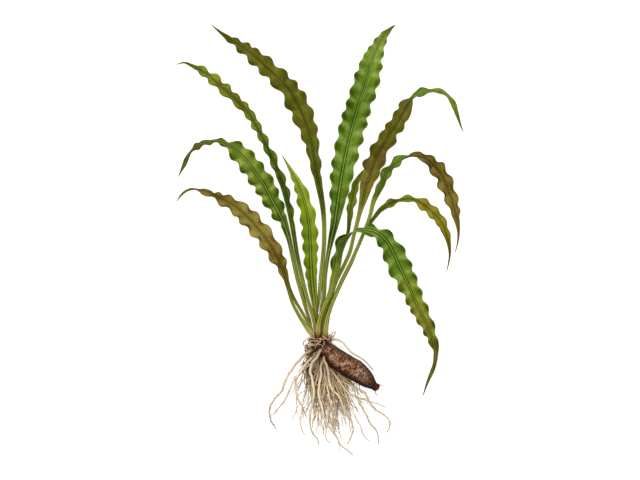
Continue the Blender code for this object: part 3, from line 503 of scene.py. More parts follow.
            (62, 62, 8.2, 8.8, -35), (67, 65, 9.2, 8.8, -71), (73, 67, 9.8, 8.8, -96),
            (78.5, 66.5, 9.8, 9.6, -118), (83.5, 65.5, 9.2, 10, -134), (88.5, 62, 8.2, 10.8, -143),
            (93, 57.5, 6.8, 12, -160), (97, 52.5, 5.6, 11.6, -172), (100, 46.5, 4.7, 12, -180),
            (102.5, 40, 4.2, 11.2, -180), (105.5, 32.5, 3.8, 10.1, -180), (108, 23.5, 3.5, 7.7, -180),
            (110, 14, 3, 4.3, -180), (111, 6.5, 2.4, 2.4, -180), (110.5, -1, 1.7, 1.4, -180),
            (108.5, -10, 0.5, 0.5, -180)]),
    "leaf_yellow": dict(
        oliveLook, slot="leaf_yellow", paleTintAndHighlight=(124, 116, 54), patch=(140, 108, 36), tone=0.5, fold=-15,
        lobe=0.6, stalk=104,
        left=[(29.5, 1.8), (41.5, 0.8), (51.5, 1.1), (62, 1.4), (77, 1.7), (89, 1.0)],
        right=[41.5, (50, 1.3), (62, 1.8), (77, 1.7), (89, 1.0)],
        top=[(0, (120, 104, 36)), (22, (106, 98, 20)), (40, (134, 126, 38)), (60, (142, 134, 54)),
             (68, (124, 124, 38)), (76, (110, 130, 32)), (85, (96, 104, 12)), (102, (90, 98, 16)),
             (120, (112, 128, 40)), (146, (152, 162, 78)), (205, (150, 150, 84))],
        under=[(0, (104, 94, 26)), (250, (120, 120, 40))],
        stations=[
            (5.5, -78.5, 10.6, 2.4), (5.5, -70.5, 10, 2.6), (6.5, -62.5, 9.2, 2.6),
            (8.5, -54.5, 8.2, 2.4), (11.5, -47.5, 7.2, 2.4), (18.5, -32, 5.4, 2.4),
            (25.5, -18, 4.4, 2.4), (31, -4, 3.8, 2.4), (36, 7, 3.6, 2.6), (40, 13, 4, 2.9),
            (44, 18.5, 4.8, 3.3), (48, 23.5, 5.4, 4, -10), (52.5, 27, 6, 5.3, -15),
            (57, 29.5, 6.4, 6.6, -15), (62, 31.5, 6.6, 4.2, -35), (66.5, 32.5, 6.6, 5, -38),
            (71.5, 33, 6.4, 6, -25), (76.5, 32, 6, 5.2, -28), (81, 29.5, 5.4, 7.8, -15),
            (85.5, 26.5, 4.6, 8.8), (90, 22.5, 4.1, 9.2), (94, 18.5, 3.8, 8.5), (97.5, 13.5, 3.5, 8),
            (100, 8, 3.2, 6.6), (102, 2.5, 2.8, 5.1), (103.5, -4.5, 2.4, 3.2), (104, -11.5, 1.9, 1.9),
            (103, -19, 1.3, 1.2), (101.5, -25.5, 0.5, 0.5)]),
    "leaf_front": dict(
        greenLook, paleTintAndHighlight=(104, 112, 70), lineReach=(0.5, 0.3), fold=-30,
        base=(170, 152, 108), stalk=214,
        left=[(18.5, 1.4), (43.5, 0.7), (58, 0.75), (73, 0.9), (86.5, 0.95), (98.5, 0.6), (110, 0.8),
              (124, 0.85), (138.5, 0.75), 151],
        right=[(31, 1.2), (45.5, 0.6), (53.5, 1.3), (65, 0.8), (75, 1.1), (82, 1.3), (95, 1.4),
               (110, 1.15), 124, 138, (151, 1.3), 177, 195],
        top=[(0, (96, 90, 18)), (36, (92, 80, 6)), (58, (122, 118, 36)), (74, (136, 134, 48)),
             (90, (120, 138, 42)), (112, (98, 130, 38)), (136, (74, 110, 18)), (156, (104, 132, 66)),
             (240, (90, 110, 26))],
        under=[(0, (96, 104, 26)), (150, (80, 100, 14)), (176, (66, 90, 0)), (190, (68, 88, 0)),
               (204, (108, 122, 32)), (214, (112, 120, 40)), (232, (150, 158, 84)),
               (250, (160, 156, 90))],
        stations=[
            (-1, -78.5, 13.8, 3.8, -180), (-1.5, -73, 13.8, 4.2, -180), (-0.5, -65, 13.6, 3.8, -180),
            (2, -56.5, 13.4, 3.5, -180), (5, -49.5, 13.2, 3.4, -180), (8.5, -41.5, 13.2, 4.2, -180),
            (11, -31.5, 13.4, 5.9, -180), (13, -20, 13.8, 7.6, -180), (15, -8.5, 14.4, 8, -162),
            (18.5, -0.5, 15.2, 8.8, -138), (23.5, 4.5, 16, 6.8, -115), (29.5, 7.5, 16.2, 7, -68),
            (37, 8, 15.6, 9.4, -40), (44, 6.5, 14.6, 10.4, -32), (50, 2.5, 13.2, 13.4, -18),
            (55, -3.5, 11.6, 14.6, -10), (59.5, -12, 9.4, 18), (64.5, -23, 7.4, 18.4),
            (69.5, -33, 5.8, 16.5), (74.5, -44.5, 4.7, 14.4), (79.5, -55.5, 4.1, 13.3),
            (84.5, -65.5, 3.7, 11.5), (89, -76, 3.5, 8.8), (91.5, -84, 3.3, 6.7, 15),
            (92.5, -94.5, 3, 4.5, 40), (90, -104.5, 2.5, 3.7, 25), (86, -114.5, 1.7, 2.2),
            (82.5, -125, 0.5, 0.5)]),
}


def ruffle(fromTip, width, crests, dice):
    # the margin's wave, -1 to 1, fading where the leaf is narrow; every crest differs a little
    crests = [crest if isinstance(crest, tuple) else (crest, 1) for crest in crests]
    crests, shares = np.array(crests, float).T
    gaps = np.diff(crests)
    last = len(crests) - 1
    turns = np.interp(fromTip, crests, np.arange(last + 1))
    turns = np.where(fromTip < crests[0], (fromTip - crests[0]) / gaps[0], turns)
    turns = np.where(fromTip > crests[-1], last + (fromTip - crests[-1]) / gaps[-1], turns)
    pitch = np.minimum(np.append(gaps, gaps[-1]), np.append(gaps[0], gaps))
    form = leafForm
    sizes = shares * np.clip(pitch / form["usualPitch"], *form["pitchRange"])
    sizes = sizes * dice.uniform(1 - form["uneven"], 1 + form["uneven"], last + 1)
    sizes[[0, -1]] *= form["endLobes"]
    far, near = form["endFade"]
    ends = smoothStep(turns, -far, -near) * smoothStep(-turns, -last - far, -last - near)
    lobes = 1 - 2 * np.abs(np.sin(np.pi * turns)) ** form["lobePower"]
    span = form["ruffleFull"] - form["ruffleStart"]
    strength = np.clip((width - form["ruffleStart"]) / span, 0, 1)
    return strength * ends * np.interp(turns, np.arange(last + 1), sizes) * lobes


def leafMaterial(name, look):
    paint = leafPaint
    material, tree, shader = newMaterial(name, paint["roughness"], paint["specular"])
    read, ease = partial(surfaceValue, tree), partial(eased, tree)
    times, cloud = partial(calc, tree, "MULTIPLY"), partial(noise, tree)
    fromTip, across, under = read("fromTip"), read("across"), read("under")
    wide, near = (calc(tree, "ABSOLUTE", value) for value in (across, read("ribDistance")))
    stalk = look["stalk"] / leafForm["paintLength"]
    bare = ease(fromTip, stalk, stalk + paint["stalkBlend"])

    def ramp(side):
        stops = [(place / leafForm["paintLength"], rgb) for place, rgb in look[side]]
        return colourRamp(tree, fromTip, stops)

    def lengthwise(length, repeats):
        # the third number gives each leaf a place of its own in the noise
        return cloud(1.0, 3.0, joined(tree, "ShaderNodeCombineXYZ", {
            0: times(fromTip, leafForm["paintLength"] / length), 1: times(across, repeats),
            2: float(len(look["stations"]))}))

    sources = {"stalk": bare, "blade": calc(tree, "SUBTRACT", 1.0, bare), "base": read("base")}
    sources["wide"] = wide
    sources.update({key: cloud(*values) for key, values in paint["noises"].items()})
    sources.update({key: lengthwise(*values) for key, values in paint["strands"].items()})
    scale, detail, distortion = paint["blotches"]
    sources["blotches"] = cloud(scale, detail, distortion=distortion)

    # the ruffle's painted highlight and painted shade, the painted light on the right half, the cross-veins
    # and the margin
    crest = times(read("crest"), look["tone"])
    (low, high), (dim, full) = paint["spotRange"], paint["spotLight"]
    uneven = joined(tree, "ShaderNodeMapRange", {0: sources["spots"], 1: low, 2: high, 3: dim, 4: full})
    middle = times(ease(wide, *paint["lightComes"]), ease(wide, *paint["lightGoes"]))
    sources["crests"] = times(times(ease(crest, *paint["crest"], look["fade"]), middle), uneven)
    sources["paintedRuffleShade"] = times(ease(crest, *paint["notch"], look["depth"]), ease(wide, *paint["darkComes"]))
    sources["paintedLitSide"] = ease(across, *paint["paintedLitSide"], look["paintedRightLight"])
    wander = times(sources["blotches"], paint["crossWander"])
    crossVeins = calc(tree, "COSINE", calc(tree, "ADD", read("oblique"), wander))
    sources["crossVeins"] = crossVeins
    sources["rim"] = overlap(tree, sources, paint["rim"])

    # the midrib and the lines beside it
    core, end = look["gapWidth"], look["lineEnd"]
    topRib, underRib = look["ribShown"]
    outer, inner = paint["ribEdge"]
    clear = calc(tree, "SUBTRACT", 1.0, ease(near, core + paint["gapEdge"], core, look["gap"]))
    shown = calc(tree, "ADD", times(under, underRib - topRib), topRib)
    shown = times(shown, ease(wide, *look["lineReach"]))
    line = ease(near, end, end - paint["lineEdge"], paint["lineShare"])
    sources["ribLines"] = times(times(line, clear), shown)
    sources["midrib"] = times(ease(near, core + outer, core + inner, paint["ribShare"]), shown)

    stripe = joined(tree, "ShaderNodeMapRange", {0: across, 1: -1.0, 2: 1.0, 3: 0.0, 4: 1.0})
    colours = {**look, "stalkShading": colourRamp(tree, stripe, stalkPaintedShading)}
    face = blendColour(tree, under, ramp("top"), ramp("under"))
    face = layered(tree, face, paint["layers"], sources, colours)
    relief = calc(tree, "ADD", sources["mottle"], sources["veins"])
    relief = calc(tree, "ADD", times(times(crossVeins, sources["blade"]), paint["crossRelief"]), relief)
    finishPaint(tree, shader, face, relief, paint["relief"], paint["reliefDepth"])
    return material


def makeLeaf(name, leaf, seed):
    dice = np.random.default_rng(seed)
    form = leafForm
    stations = [row if len(row) == 5 else (*row, 0) for row in leaf["stations"]]
    places, value, slope = followRoute(stations, form["ringStep"])
    share = places / places[-1]
    fromTip = places[-1] - places
    left, up = sideways(unit(slope[:, :3]))
    roll = np.radians(value[:, 4])[:, None]
    across = left * np.cos(roll) + up * np.sin(roll)
    normal = up * np.cos(roll) - left * np.sin(roll)
    width = value[:, 3]
    stalkWidth = float(np.interp(form["stalkAt"], share, width))
    low, high = form["bladeStart"]
    blade = smoothStep(width, low * stalkWidth, high * stalkWidth) * (share > form["sheathEnd"])
    blade = np.maximum.accumulate(blade)
    thin, thick = form["tipThickness"], form["stalkThickness"]
    thickness = thick + (thin - thick) * share ** form["taperPower"]
    thickness = np.minimum(thickness, width * form["thicknessToWidth"])
    ribWidth = form["ribWidth"] * (form["ribTaper"] - share) * np.minimum(1, width / 4)
    turned = np.abs(np.sin(roll[:, 0]))
    fold = leaf["fold"] * turned ** leaf["foldPower"]
    keel = np.radians(form["keel"] * (1 - turned) + fold) * blade
    waves = {side: leaf["lobe"] * ruffle(fromTip, width, leaf[side], dice) for side in ("left", "right")}
    # round the section: over the top from left to right, then back underneath
    half = np.array(form["halfColumns"])
    columns = [(1, t, 1) for t in half[::-1]] + [(-1, t, 1) for t in half[1:]]
    columns += [(-1, t, 0) for t in half[-2:0:-1]] + [(1, t, 0) for t in half[:-1]]
    rings = []
    values = {key: [] for key in ("fromTip", "across", "oblique", "ribDistance", "crest", "under", "base")}
    for sign, t, top in columns:
        edge = waves["left" if sign > 0 else "right"]
        reach = (width / 2 + form["bump"] * edge) * t
        wave = np.interp(fromTip - form["slant"] * width / 2 * (1 - t), fromTip[::-1], edge[::-1])
        height = form["wave"] * wave * t ** form["reach"] * (1 - form["turnedWave"] * turned)
        swell = 1 - form["puffWave"] + form["puffWave"] * wave
        height = height + form["puff"] * blade * math.sin(math.pi * t) * swell
        rib = thickness * np.exp(-(reach / (form["ribSpread"] * ribWidth)) ** 2)
        oval = thickness / 2 * math.sqrt(1 - t * t)
        sheet = form["bladeThickness"] / 2 * (1 - form["thinning"] * t**6) * (t < 1)
        if top:
            dip = np.exp(-((reach - form["grooveAt"] * ribWidth) / ribWidth) ** 2)
            groove = form["groove"] * dip * (t < 1)
            skin = blade * (sheet + form["ribShare"] * rib * 0.5 - groove)
            dip = form["stalkDip"] * math.exp(-(t / form["stalkDipWidth"]) ** 2)
            skin = skin + (1 - blade) * oval * (1 - dip)
        else:
            under = sheet + (1 - form["ribShare"] / 2) * rib * form["underRib"]
            skin = -(blade * under + (1 - blade) * oval)
        lean = (keel * min(1, t / form["keelFull"]))[:, None]
        outward = across * (sign * np.cos(lean)) + normal * np.sin(lean)
        upward = normal * np.cos(lean) - across * (sign * np.sin(lean))
        rings.append(value[:, :3] + outward * reach[:, None] + upward * (height + skin)[:, None])
        values["fromTip"].append(fromTip / form["paintLength"])
        values["across"].append(np.full(len(share), sign * t))
        values["oblique"].append((places - form["veinSlant"] * reach) * 2 * math.pi / form["veinPitch"])
        values["ribDistance"].append(reach / ribWidth)
        values["crest"].append(wave)
        values["under"].append(np.full(len(share), 1.0 - top))
        values["base"].append(smoothStep(-places, -form["baseReach"][0], -form["baseReach"][1]))
    rings = np.stack(rings, axis=1)
    rings[:, :, 2] = np.maximum(rings[:, :, 2], form["lowest"])
    values = {key: np.stack(lists, axis=1) for key, lists in values.items()}
    piece = ringMesh(name.replace("_", "") + "Skin", rings, values, leafMaterial(name + "Colour", leaf))
    finishPiece(piece, [name])


for seed, (name, leaf) in enumerate(leaves.items(), leafForm["firstSeed"]):
    makeLeaf(name, leaf, seed)
print("leaves made:", len(leaves))


# Tuber

tuber = {
    "seed": 5, "ringStep": 0.4, "sides": 120,
    "crownRise": 3.4, "crownFlatness": 0.86, "flatEnd": (4, 9),   # mm along the tuber where it turns round
    "ridges": 0.09, "ridgeSpacing": 1.5, "lumps": 0.34, "pits": 0.12,
    "domeDrop": 0.8, "endDrop": 0.93,    # how much of its section it loses at the crown and at the far end
    "roundEnd": 1.3,                     # mm over which the far end is rounded
    # how the ridges wander: how far, how often round the tuber, and over how many mm along it
    "drift": [(1.5, 2, 7), (0.9, 3, -4), (0.7, 7, 1)], "ridgeFade": 0.35, "ridgeFadeLength": 2.3,
    "thinPart": 4,                       # mm of half width, below which the lumps are smaller too
    "neck": 4.2, "neckDepth": 0.1, "neckSpread": 1.1,     # the waist before the end knob, mm from the end
    # centre line from the crown to the end: x, y, z and half width, in mm
    "stations": [
        (0.2, -79.8, 10.7, 6.7), (0.4, -82.9, 10.4, 6.9), (3.6, -86.9, 10.0, 6.9),
        (7.9, -89.5, 9.4, 6.9), (12.4, -94.2, 8.7, 8.0), (17.6, -97.9, 8.1, 8.4),
        (22.8, -101.0, 8.4, 8.7), (28.4, -104.5, 8.4, 8.7), (33.8, -108.4, 7.7, 7.8),
        (39.2, -113.3, 6.6, 6.0), (43.1, -116.5, 5.6, 3.7), (45.7, -118.4, 5.0, 3.2),
        (47.1, -119.6, 4.7, 1.8)],
}

tuberPaint = {
    "roughness": 0.5, "specular": 0.06, "relief": 0.8, "reliefDepth": 0.0005,
    # noise drawn out round the tuber: a spot's length along it in mm, its repeats round it, and its detail
    "noises": {"rings": (0.7, 0.8, 1.5), "flecks": (0.85, 4.2, 3.0), "fields": (5.0, 1.9, 2.0),
               "spots": (1.5, 3.6, 3.0), "spread": (6.0, 2.0, 3.0)},
    "flecks": [(0.34, (64, 36, 16)), (0.46, (106, 70, 42)), (0.56, (146, 106, 74)),
               (0.68, (178, 140, 108))],
    # painted highlight along the top of the tuber, in its lighter fields and flecks
    "paintedShine": [("fields", (0.44, 0.6, 0.75)), ("flecks", (0.4, 0.56)), ("facing", (0.8, 0.98)),
              ("along", (58.0, 48.0))],
    "orange": [("spots", (0.5, 0.6, 0.65)), ("spread", (0.5, 0.6)), ("along", (52.0, 30.0))],
    "layers": [
        # ring marks: the skin's banding, with painted shade in the grooves and painted highlight on the
        # ridges
        ("MULTIPLY", (120, 84, 56), "rings", (0.5, 0.38, 0.85)),
        ("SCREEN", (84, 66, 52), "rings", (0.52, 0.64, 0.7)),
        ("MULTIPLY", (164, 122, 90), "fields", (0.5, 0.34, 0.6)),
        # painted highlight
        ("MIX", (200, 168, 152), "paintedShine"),
        ("MIX", (186, 118, 62), "orange"),
        # painted shade towards the tuber's sides, and more of it on one side
        ("MULTIPLY", (112, 80, 44), "facing", (0.9, 0.35, 0.85)),
        ("MULTIPLY", (110, 74, 38), "beside", (-0.25, -0.85, 0.8)),
        ("MULTIPLY", (120, 84, 54), "along", (42.0, 57.0, 0.85)),
        ("MIX", (36, 19, 9), "along", (9.0, 1.0, 0.9)),
        ("MULTIPLY", (246, 246, 244)),
        ("MIX", (170, 114, 66), "along", (61.0, 64.0, 0.75))],
}


def tuberMaterial():
    paint = tuberPaint
    material, tree, shader = newMaterial("tuberSkin", paint["roughness"], paint["specular"])
    times = partial(calc, tree, "MULTIPLY")
    along, facing, beside = (surfaceValue(tree, key) for key in ("alongMm", "facing", "beside"))
    sources = {"along": along, "facing": facing, "beside": beside}
    for key, (length, turns, detail) in paint["noises"].items():
        place = joined(tree, "ShaderNodeCombineXYZ", {
            0: times(along, 1 / length), 1: times(facing, turns), 2: times(beside, turns)})
        sources[key] = noise(tree, 1.0, detail, place)
    for key in ("paintedShine", "orange"):
        sources[key] = overlap(tree, sources, paint[key])
    skin = colourRamp(tree, sources["flecks"], paint["flecks"])
    skin = layered(tree, skin, paint["layers"], sources, {})
    relief = calc(tree, "ADD", sources["rings"], sources["flecks"])
    finishPaint(tree, shader, skin, relief, paint["relief"], paint["reliefDepth"])
    return material


def makeTuber():
    dice = random.Random(tuber["seed"])
    places, value, slope = followRoute(tuber["stations"], tuber["ringStep"])
    rise = tuber["crownRise"]
    extra = np.arange(rise, 0, -tuber["ringStep"])[:, None]
    forward = unit(slope[:, :3] * (1, 1, 0))
    dome = np.hstack([value[0, :3] - forward[0] * extra, np.full_like(extra, value[0, 3])])
    value = np.vstack([dome, value])
    forward = np.vstack([np.repeat(forward[:1], len(extra), axis=0), forward])
    places = np.concatenate([-extra[:, 0], places])
    left, up = sideways(forward)
    radius = value[:, 3] * np.sqrt(1 - (np.minimum(places, 0) / rise) ** 2 * tuber["domeDrop"])
    fromEnd = places[-1] - places
    radius *= np.sqrt(1 - (1 - np.minimum(fromEnd / tuber["roundEnd"], 1)) ** 2 * tuber["endDrop"])
    radius *= 1 - tuber["neckDepth"] * np.exp(-((fromEnd - tuber["neck"]) / tuber["neckSpread"]) ** 2)
    flat = np.interp(places, (0, *tuber["flatEnd"]), (tuber["crownFlatness"], tuber["crownFlatness"], 1))
    # waves round and along the tuber: how many round it, how fast along it, where they begin, and size
    lumps = [(dice.randint(1, 5), dice.uniform(0.08, 0.5), dice.uniform(0, 6.3), dice.uniform(0.3, 1))
             for _ in range(9)]
    pits = [(dice.randint(6, 17), dice.uniform(0.8, 2.4), dice.uniform(0, 6.3), 1.0) for _ in range(8)]

    def swell(waves, turn):
        return sum(size * np.sin(count * turn + rate * places + begin)
                   for count, rate, begin, size in waves) / 4

    rings, facing, beside = [], [], []
    for k in range(tuber["sides"]):
        turn = 2 * math.pi * k / tuber["sides"]
        drift = sum(size * np.sin(count * turn + places / length) for size, count, length in tuber["drift"])
        ridge = np.sin(2 * math.pi * places / tuber["ridgeSpacing"] + drift)
        fade = np.sin(places / tuber["ridgeFadeLength"] + 2 * math.sin(turn + 1))
        ridge = ridge * (1 - tuber["ridgeFade"] + tuber["ridgeFade"] * fade)
        grow = tuber["lumps"] * (swell(lumps, turn) - 0.5) + tuber["ridges"] * ridge
        grow = grow + tuber["pits"] * swell(pits, turn)
        out = radius + grow * np.minimum(1, radius / tuber["thinPart"])
        rings.append(value[:, :3] + left * (out * math.sin(turn))[:, None]
                     + up * (out * flat * math.cos(turn))[:, None])
        facing.append(np.full(len(places), math.cos(turn)))
        beside.append(np.full(len(places), math.sin(turn)))
    # the other way round, so that the faces look outward
    rings, facing, beside = (np.stack(lists, axis=1)[:, ::-1] for lists in (rings, facing, beside))
    rings[:, :, 2] = np.maximum(rings[:, :, 2], 0.0)
    alongMm = np.repeat(places[:, None], tuber["sides"], axis=1)
    values = {"alongMm": alongMm, "facing": facing, "beside": beside}
    finishPiece(ringMesh("tuberBody", rings, values, tuberMaterial()), ["tuber"])
    return rings, places


tuberRings, tuberPlaces = makeTuber()
print("tuber made")


# Roots

rootForm = {
    "step": 0.7, "sides": 10, "wobble": 0.42, "waveLength": 8.0, "uneven": 0.16,
    "depth": 1.6, "rise": 0.9,           # mm under the tuber's skin where a root starts, and above it
    "endRoots": ("root_14", "root_15"),  # the darker ones at the tuber's end
}

# tuber: place along it and turn around it where the root leaves; thick: at the start and at the tip
mainRoots = {
    "root_01": dict(tuber=(0.2, -88), thick=(1.7, 0.7), route=[
        (-10.5, -79, 11), (-12.7, -81, 8.5), (-13, -84.5, 4.5)]),
    "root_02": dict(tuber=(0.9, -60), thick=(1.8, 0.7), route=[(-10, -83.5, 12), (-12.5, -87, 5.5)]),
    "root_03": dict(tuber=(1.2, -95), thick=(2.2, 0.8), route=[
        (-13.5, -93, 7.8), (-21, -102, 5), (-28, -113.5, 3.4), (-30.5, -121, 2.6), (-36.5, -127.5, 1.8),
        (-40.5, -136.5, 1.2), (-39.5, -144, 0.9), (-35.5, -151, 0.6)]),
    "root_04": dict(tuber=(1.7, -103), thick=(2.2, 0.8), route=[
        (-11, -99, 7.4), (-18, -108, 6.6), (-22.5, -116, 4.4), (-27.5, -127.5, 2.2), (-37, -139.5, 0.8)]),
    "root_05": dict(tuber=(2.0, -125), thick=(2.2, 0.9), route=[
        (-7, -99, 4.6), (-15, -105, 4), (-19, -113.5, 3.8), (-18.5, -125, 3.6), (-13.5, -135, 3),
        (-11, -141.5, 2.6)]),
    "root_05_fork_left": dict(start=(-18.4, -124, 3.6), thick=(1.1, 0.6), route=[
        (-19, -128.5, 3.2), (-18.8, -136.5, 2.7), (-22.5, -144, 2.2)]),
    "root_05_fork_right": dict(start=(-13.9, -134.2, 3), thick=(1.1, 0.6), route=[
        (-14.5, -138, 2.6), (-15.8, -146.5, 2.4), (-14.5, -152, 2), (-12, -156.5, 1.6)]),
    "root_06": dict(tuber=(1.7, -28), thick=(2.6, 0.9), route=[
        (-2, -93, 15), (-6.5, -99, 10), (-7.5, -105.5, 7), (-6.5, -110, 5.6), (-5, -125, 4.2),
        (-7.5, -136.5, 3.2), (-8, -144, 2.7), (-6, -155, 2.1), (-2, -159.5, 1.8), (-1, -164, 1.4)]),
    "root_07": dict(tuber=(2.6, -95), thick=(2.4, 0.8), route=[
        (1, -101, 7.2), (1, -108, 5.6), (-1, -117.5, 4.6), (-0.5, -126.5, 4), (2, -135, 3.2),
        (4, -144, 2.8), (8, -151, 2.6), (13.5, -158, 2.2), (17, -165, 1.6), (21.5, -168, 0.9),
        (26.5, -172.5, 0.5)]),
    "root_07_fork_left": dict(start=(4.3, -145, 2.8), thick=(1.0, 0.6), route=[
        (5.6, -150.8, 2.4), (5, -158, 1.9), (8.5, -163.5, 1.4)]),
    "root_07_fork_right": dict(start=(14.6, -161, 1.9), thick=(0.9, 0.5), route=[
        (15.6, -166.4, 1.2), (15, -171, 0.5)]),
    "root_08": dict(tuber=(2.9, -118), thick=(1.8, 0.7), route=[
        (3.5, -105, 4.3), (6, -118, 4), (8.5, -130, 3.6), (11, -142, 2.8), (12.8, -152, 2.3)]),
    "root_09": dict(tuber=(2.6, -62), thick=(2.3, 0.8), route=[
        (5.5, -100.5, 11.5), (6.5, -106, 9), (7, -111, 6.6), (10, -119.5, 4.6), (15.5, -126, 3.8),
        (19.5, -135, 3.2), (25.5, -146.5, 2.4), (26.5, -152.5, 2), (24, -160, 1.5), (21.5, -164, 1.2)]),
    "root_10": dict(tuber=(3.6, -95), thick=(2.1, 0.8), route=[
        (9.5, -105, 6.4), (15.5, -112.5, 5), (21, -120.5, 4.2), (29.5, -126.5, 3.4), (36.5, -139.5, 2.6),
        (41, -148, 1.9), (45.5, -153.5, 1.2), (47, -163.5, 0.6)]),
    "root_10_fork_left": dict(start=(18.4, -117, 4.5), thick=(1.2, 0.7), route=[
        (20.2, -123, 3.8), (23, -131, 3.4), (28.5, -142.5, 2.8), (32.5, -149.5, 2.2), (35, -156.5, 1.5),
        (39.5, -161.5, 0.8)]),
    "root_10_fork_right": dict(start=(26.5, -124.4, 3.7), thick=(1.1, 0.6), route=[
        (31.6, -127, 4.4), (39, -128.8, 5), (47.8, -132, 3.2), (52.5, -134.5, 1.4)]),
    "root_11": dict(tuber=(3.9, -118), thick=(1.9, 0.8), route=[
        (9.5, -106, 3.5), (17.5, -112.8, 3.3), (28, -118.8, 3.1), (35.5, -122, 2.8), (40, -130.5, 2.6),
        (44, -135.5, 2.2), (50, -139.5, 1.8), (55.5, -145, 1.2), (56, -149.5, 0.8), (54, -154, 0.6)]),
    "root_12": dict(tuber=(1.9, 78), thick=(1.9, 0.8), route=[
        (12.5, -79.4, 11.2), (16.5, -80.8, 9.5), (22, -86.5, 7), (28.8, -92.2, 4.2), (36.5, -97.5, 2.2),
        (43, -104.5, 0.7)]),
    "root_13": dict(tuber=(0.08, 108), thick=(1.6, 0.5), route=[(10.5, -77, 8.8), (13, -72.5, 9.2)]),
    "root_14": dict(start=(46.2, -117.6, 5.6), thick=(0.9, 0.5), route=[
        (48.4, -115.9, 5.2), (49.6, -116.2, 4.6), (51.2, -116.8, 3.6)]),
    "root_15": dict(start=(44.7, -119.8, 4.8), thick=(0.9, 0.5), route=[
        (44.5, -122.3, 3.6), (45.6, -123.7, 2.8), (46.3, -125.4, 1.6)]),
}


tubeForm = {
    "apart": 37.0, "detail": 1.5,        # how far apart two roots lie in the noise that bends them
    "sway": (4.0, 4.0, 1.2),             # how far that noise bends them in x, y and z
    "hold": 6.0,                         # how soon that sets in from the two ends, which stay in place
    "clear": 0.00004,                    # metres between a root and the surface under it
    "thicknessNoise": (450.0, 1.0, 3.0),       # scale, detail and strength
}


def onTuber(along, turn):
    # where a root meets the tuber's side, and the way straight out of it
    places, value, slope = followRoute(tuber["stations"], 0.1)
    rows = np.array(tuber["stations"])
    k = int(np.argmin(np.abs(places - np.interp(along, range(len(rows)), knotPlaces(rows)))))
    left, up = sideways(unit(slope[k, :3] * (1, 1, 0)))
    out = left * math.sin(math.radians(turn)) + up * math.cos(math.radians(turn))
    return value[k, :3], value[k, 3], out


def rootRoute(root):
    # a fork starts in its root; a root starts under the tuber's skin and turns towards its route
    if "start" in root:
        return [root["start"]] + root["route"]
    centre, radius, out = onTuber(*root["tuber"])
    towards = unit(np.array(root["route"][0]) - centre - out * radius)
    deep = centre + out * (radius - rootForm["depth"]) - towards * rootForm["depth"]
    skin = centre + out * (radius + rootForm["rise"]) + towards
    return [tuple(deep), tuple(skin)] + root["route"]


def newTree(name, inputs):
    # a node tree that takes and gives geometry, with its named inputs
    tree = bpy.data.node_groups.new(name, "GeometryNodeTree")
    face = tree.interface
    face.new_socket("Geometry", in_out="INPUT", socket_type="NodeSocketGeometry")
    face.new_socket("Geometry", in_out="OUTPUT", socket_type="NodeSocketGeometry")
    for key, kind in inputs.items():
        face.new_socket(key, in_out="INPUT", socket_type="NodeSocket" + kind)
    return tree, tree.nodes.new("NodeGroupInput").outputs


def lastly(tree, geometry, material):
    smooth = joined(tree, "GeometryNodeSetShadeSmooth", {"Geometry": geometry})
    real = joined(tree, "GeometryNodeRealizeInstances", {"Geometry": smooth})
    painted = joined(tree, "GeometryNodeSetMaterial", {"Geometry": real, "Material": material})
    tree.links.new(painted, tree.nodes.new("NodeGroupOutput").inputs[0])


def stored(tree, geometry, name, value, domain="POINT"):
    return joined(tree, "GeometryNodeStoreNamedAttribute", {
        "Geometry": geometry, "Name": name, "Value": value}, data_type="FLOAT", domain=domain)


def fetched(tree, name):
    return joined(tree, "GeometryNodeInputNamedAttribute", {"Name": name}, data_type="FLOAT")


def vectorCalc(tree, operation, a, b):
    second = "Scale" if operation == "SCALE" else 1
    return joined(tree, "ShaderNodeVectorMath", {0: a, second: b}, operation=operation)


def tubes(tree, curve, radius, given):
    # wobbles the curves a little, keeps them above the surface and gives them thickness
    times = partial(calc, tree, "MULTIPLY")
    factor = joined(tree, "GeometryNodeSplineParameter", {}, "Factor")
    curve = stored(tree, curve, "along", factor)
    place = joined(tree, "GeometryNodeInputPosition", {})
    shift = joined(tree, "ShaderNodeCombineXYZ", {
        0: times(fetched(tree, "own"), tubeForm["apart"]), 1: given["Seed"], 2: 0.0})
    spot = vectorCalc(tree, "SCALE", place, calc(tree, "DIVIDE", 1.0, given["Wave Length"]))
    spot = vectorCalc(tree, "ADD", spot, shift)
    cloud = joined(tree, "ShaderNodeTexNoise", {
        "Vector": spot, "Scale": 1.0, "Detail": tubeForm["detail"]}, "Color")
    sway = vectorCalc(tree, "SUBTRACT", cloud, (0.5, 0.5, 0.5))
    sway = vectorCalc(tree, "MULTIPLY", sway, tubeForm["sway"])
    held = times(times(factor, calc(tree, "SUBTRACT", 1.0, factor)), tubeForm["hold"])
    sway = vectorCalc(tree, "SCALE", sway, times(given["Wobble"], calc(tree, "MINIMUM", held, 1.0)))
    curve = joined(tree, "GeometryNodeSetPosition", {"Geometry": curve, "Offset": sway})
    parts = tree.nodes.new("ShaderNodeSeparateXYZ")
    tree.links.new(joined(tree, "GeometryNodeInputPosition", {}), parts.inputs[0])
    height = calc(tree, "MAXIMUM", parts.outputs[2], calc(tree, "ADD", radius, tubeForm["clear"]))
    raised = joined(tree, "ShaderNodeCombineXYZ", {0: parts.outputs[0], 1: parts.outputs[1], 2: height})
    curve = joined(tree, "GeometryNodeSetPosition", {"Geometry": curve, "Position": raised})
    circle = joined(tree, "GeometryNodeCurvePrimitiveCircle", {"Resolution": given["Sides"], "Radius": 1.0})
    return joined(tree, "GeometryNodeCurveToMesh", {
        "Curve": curve, "Profile Curve": circle, "Scale": radius, "Fill Caps": True})


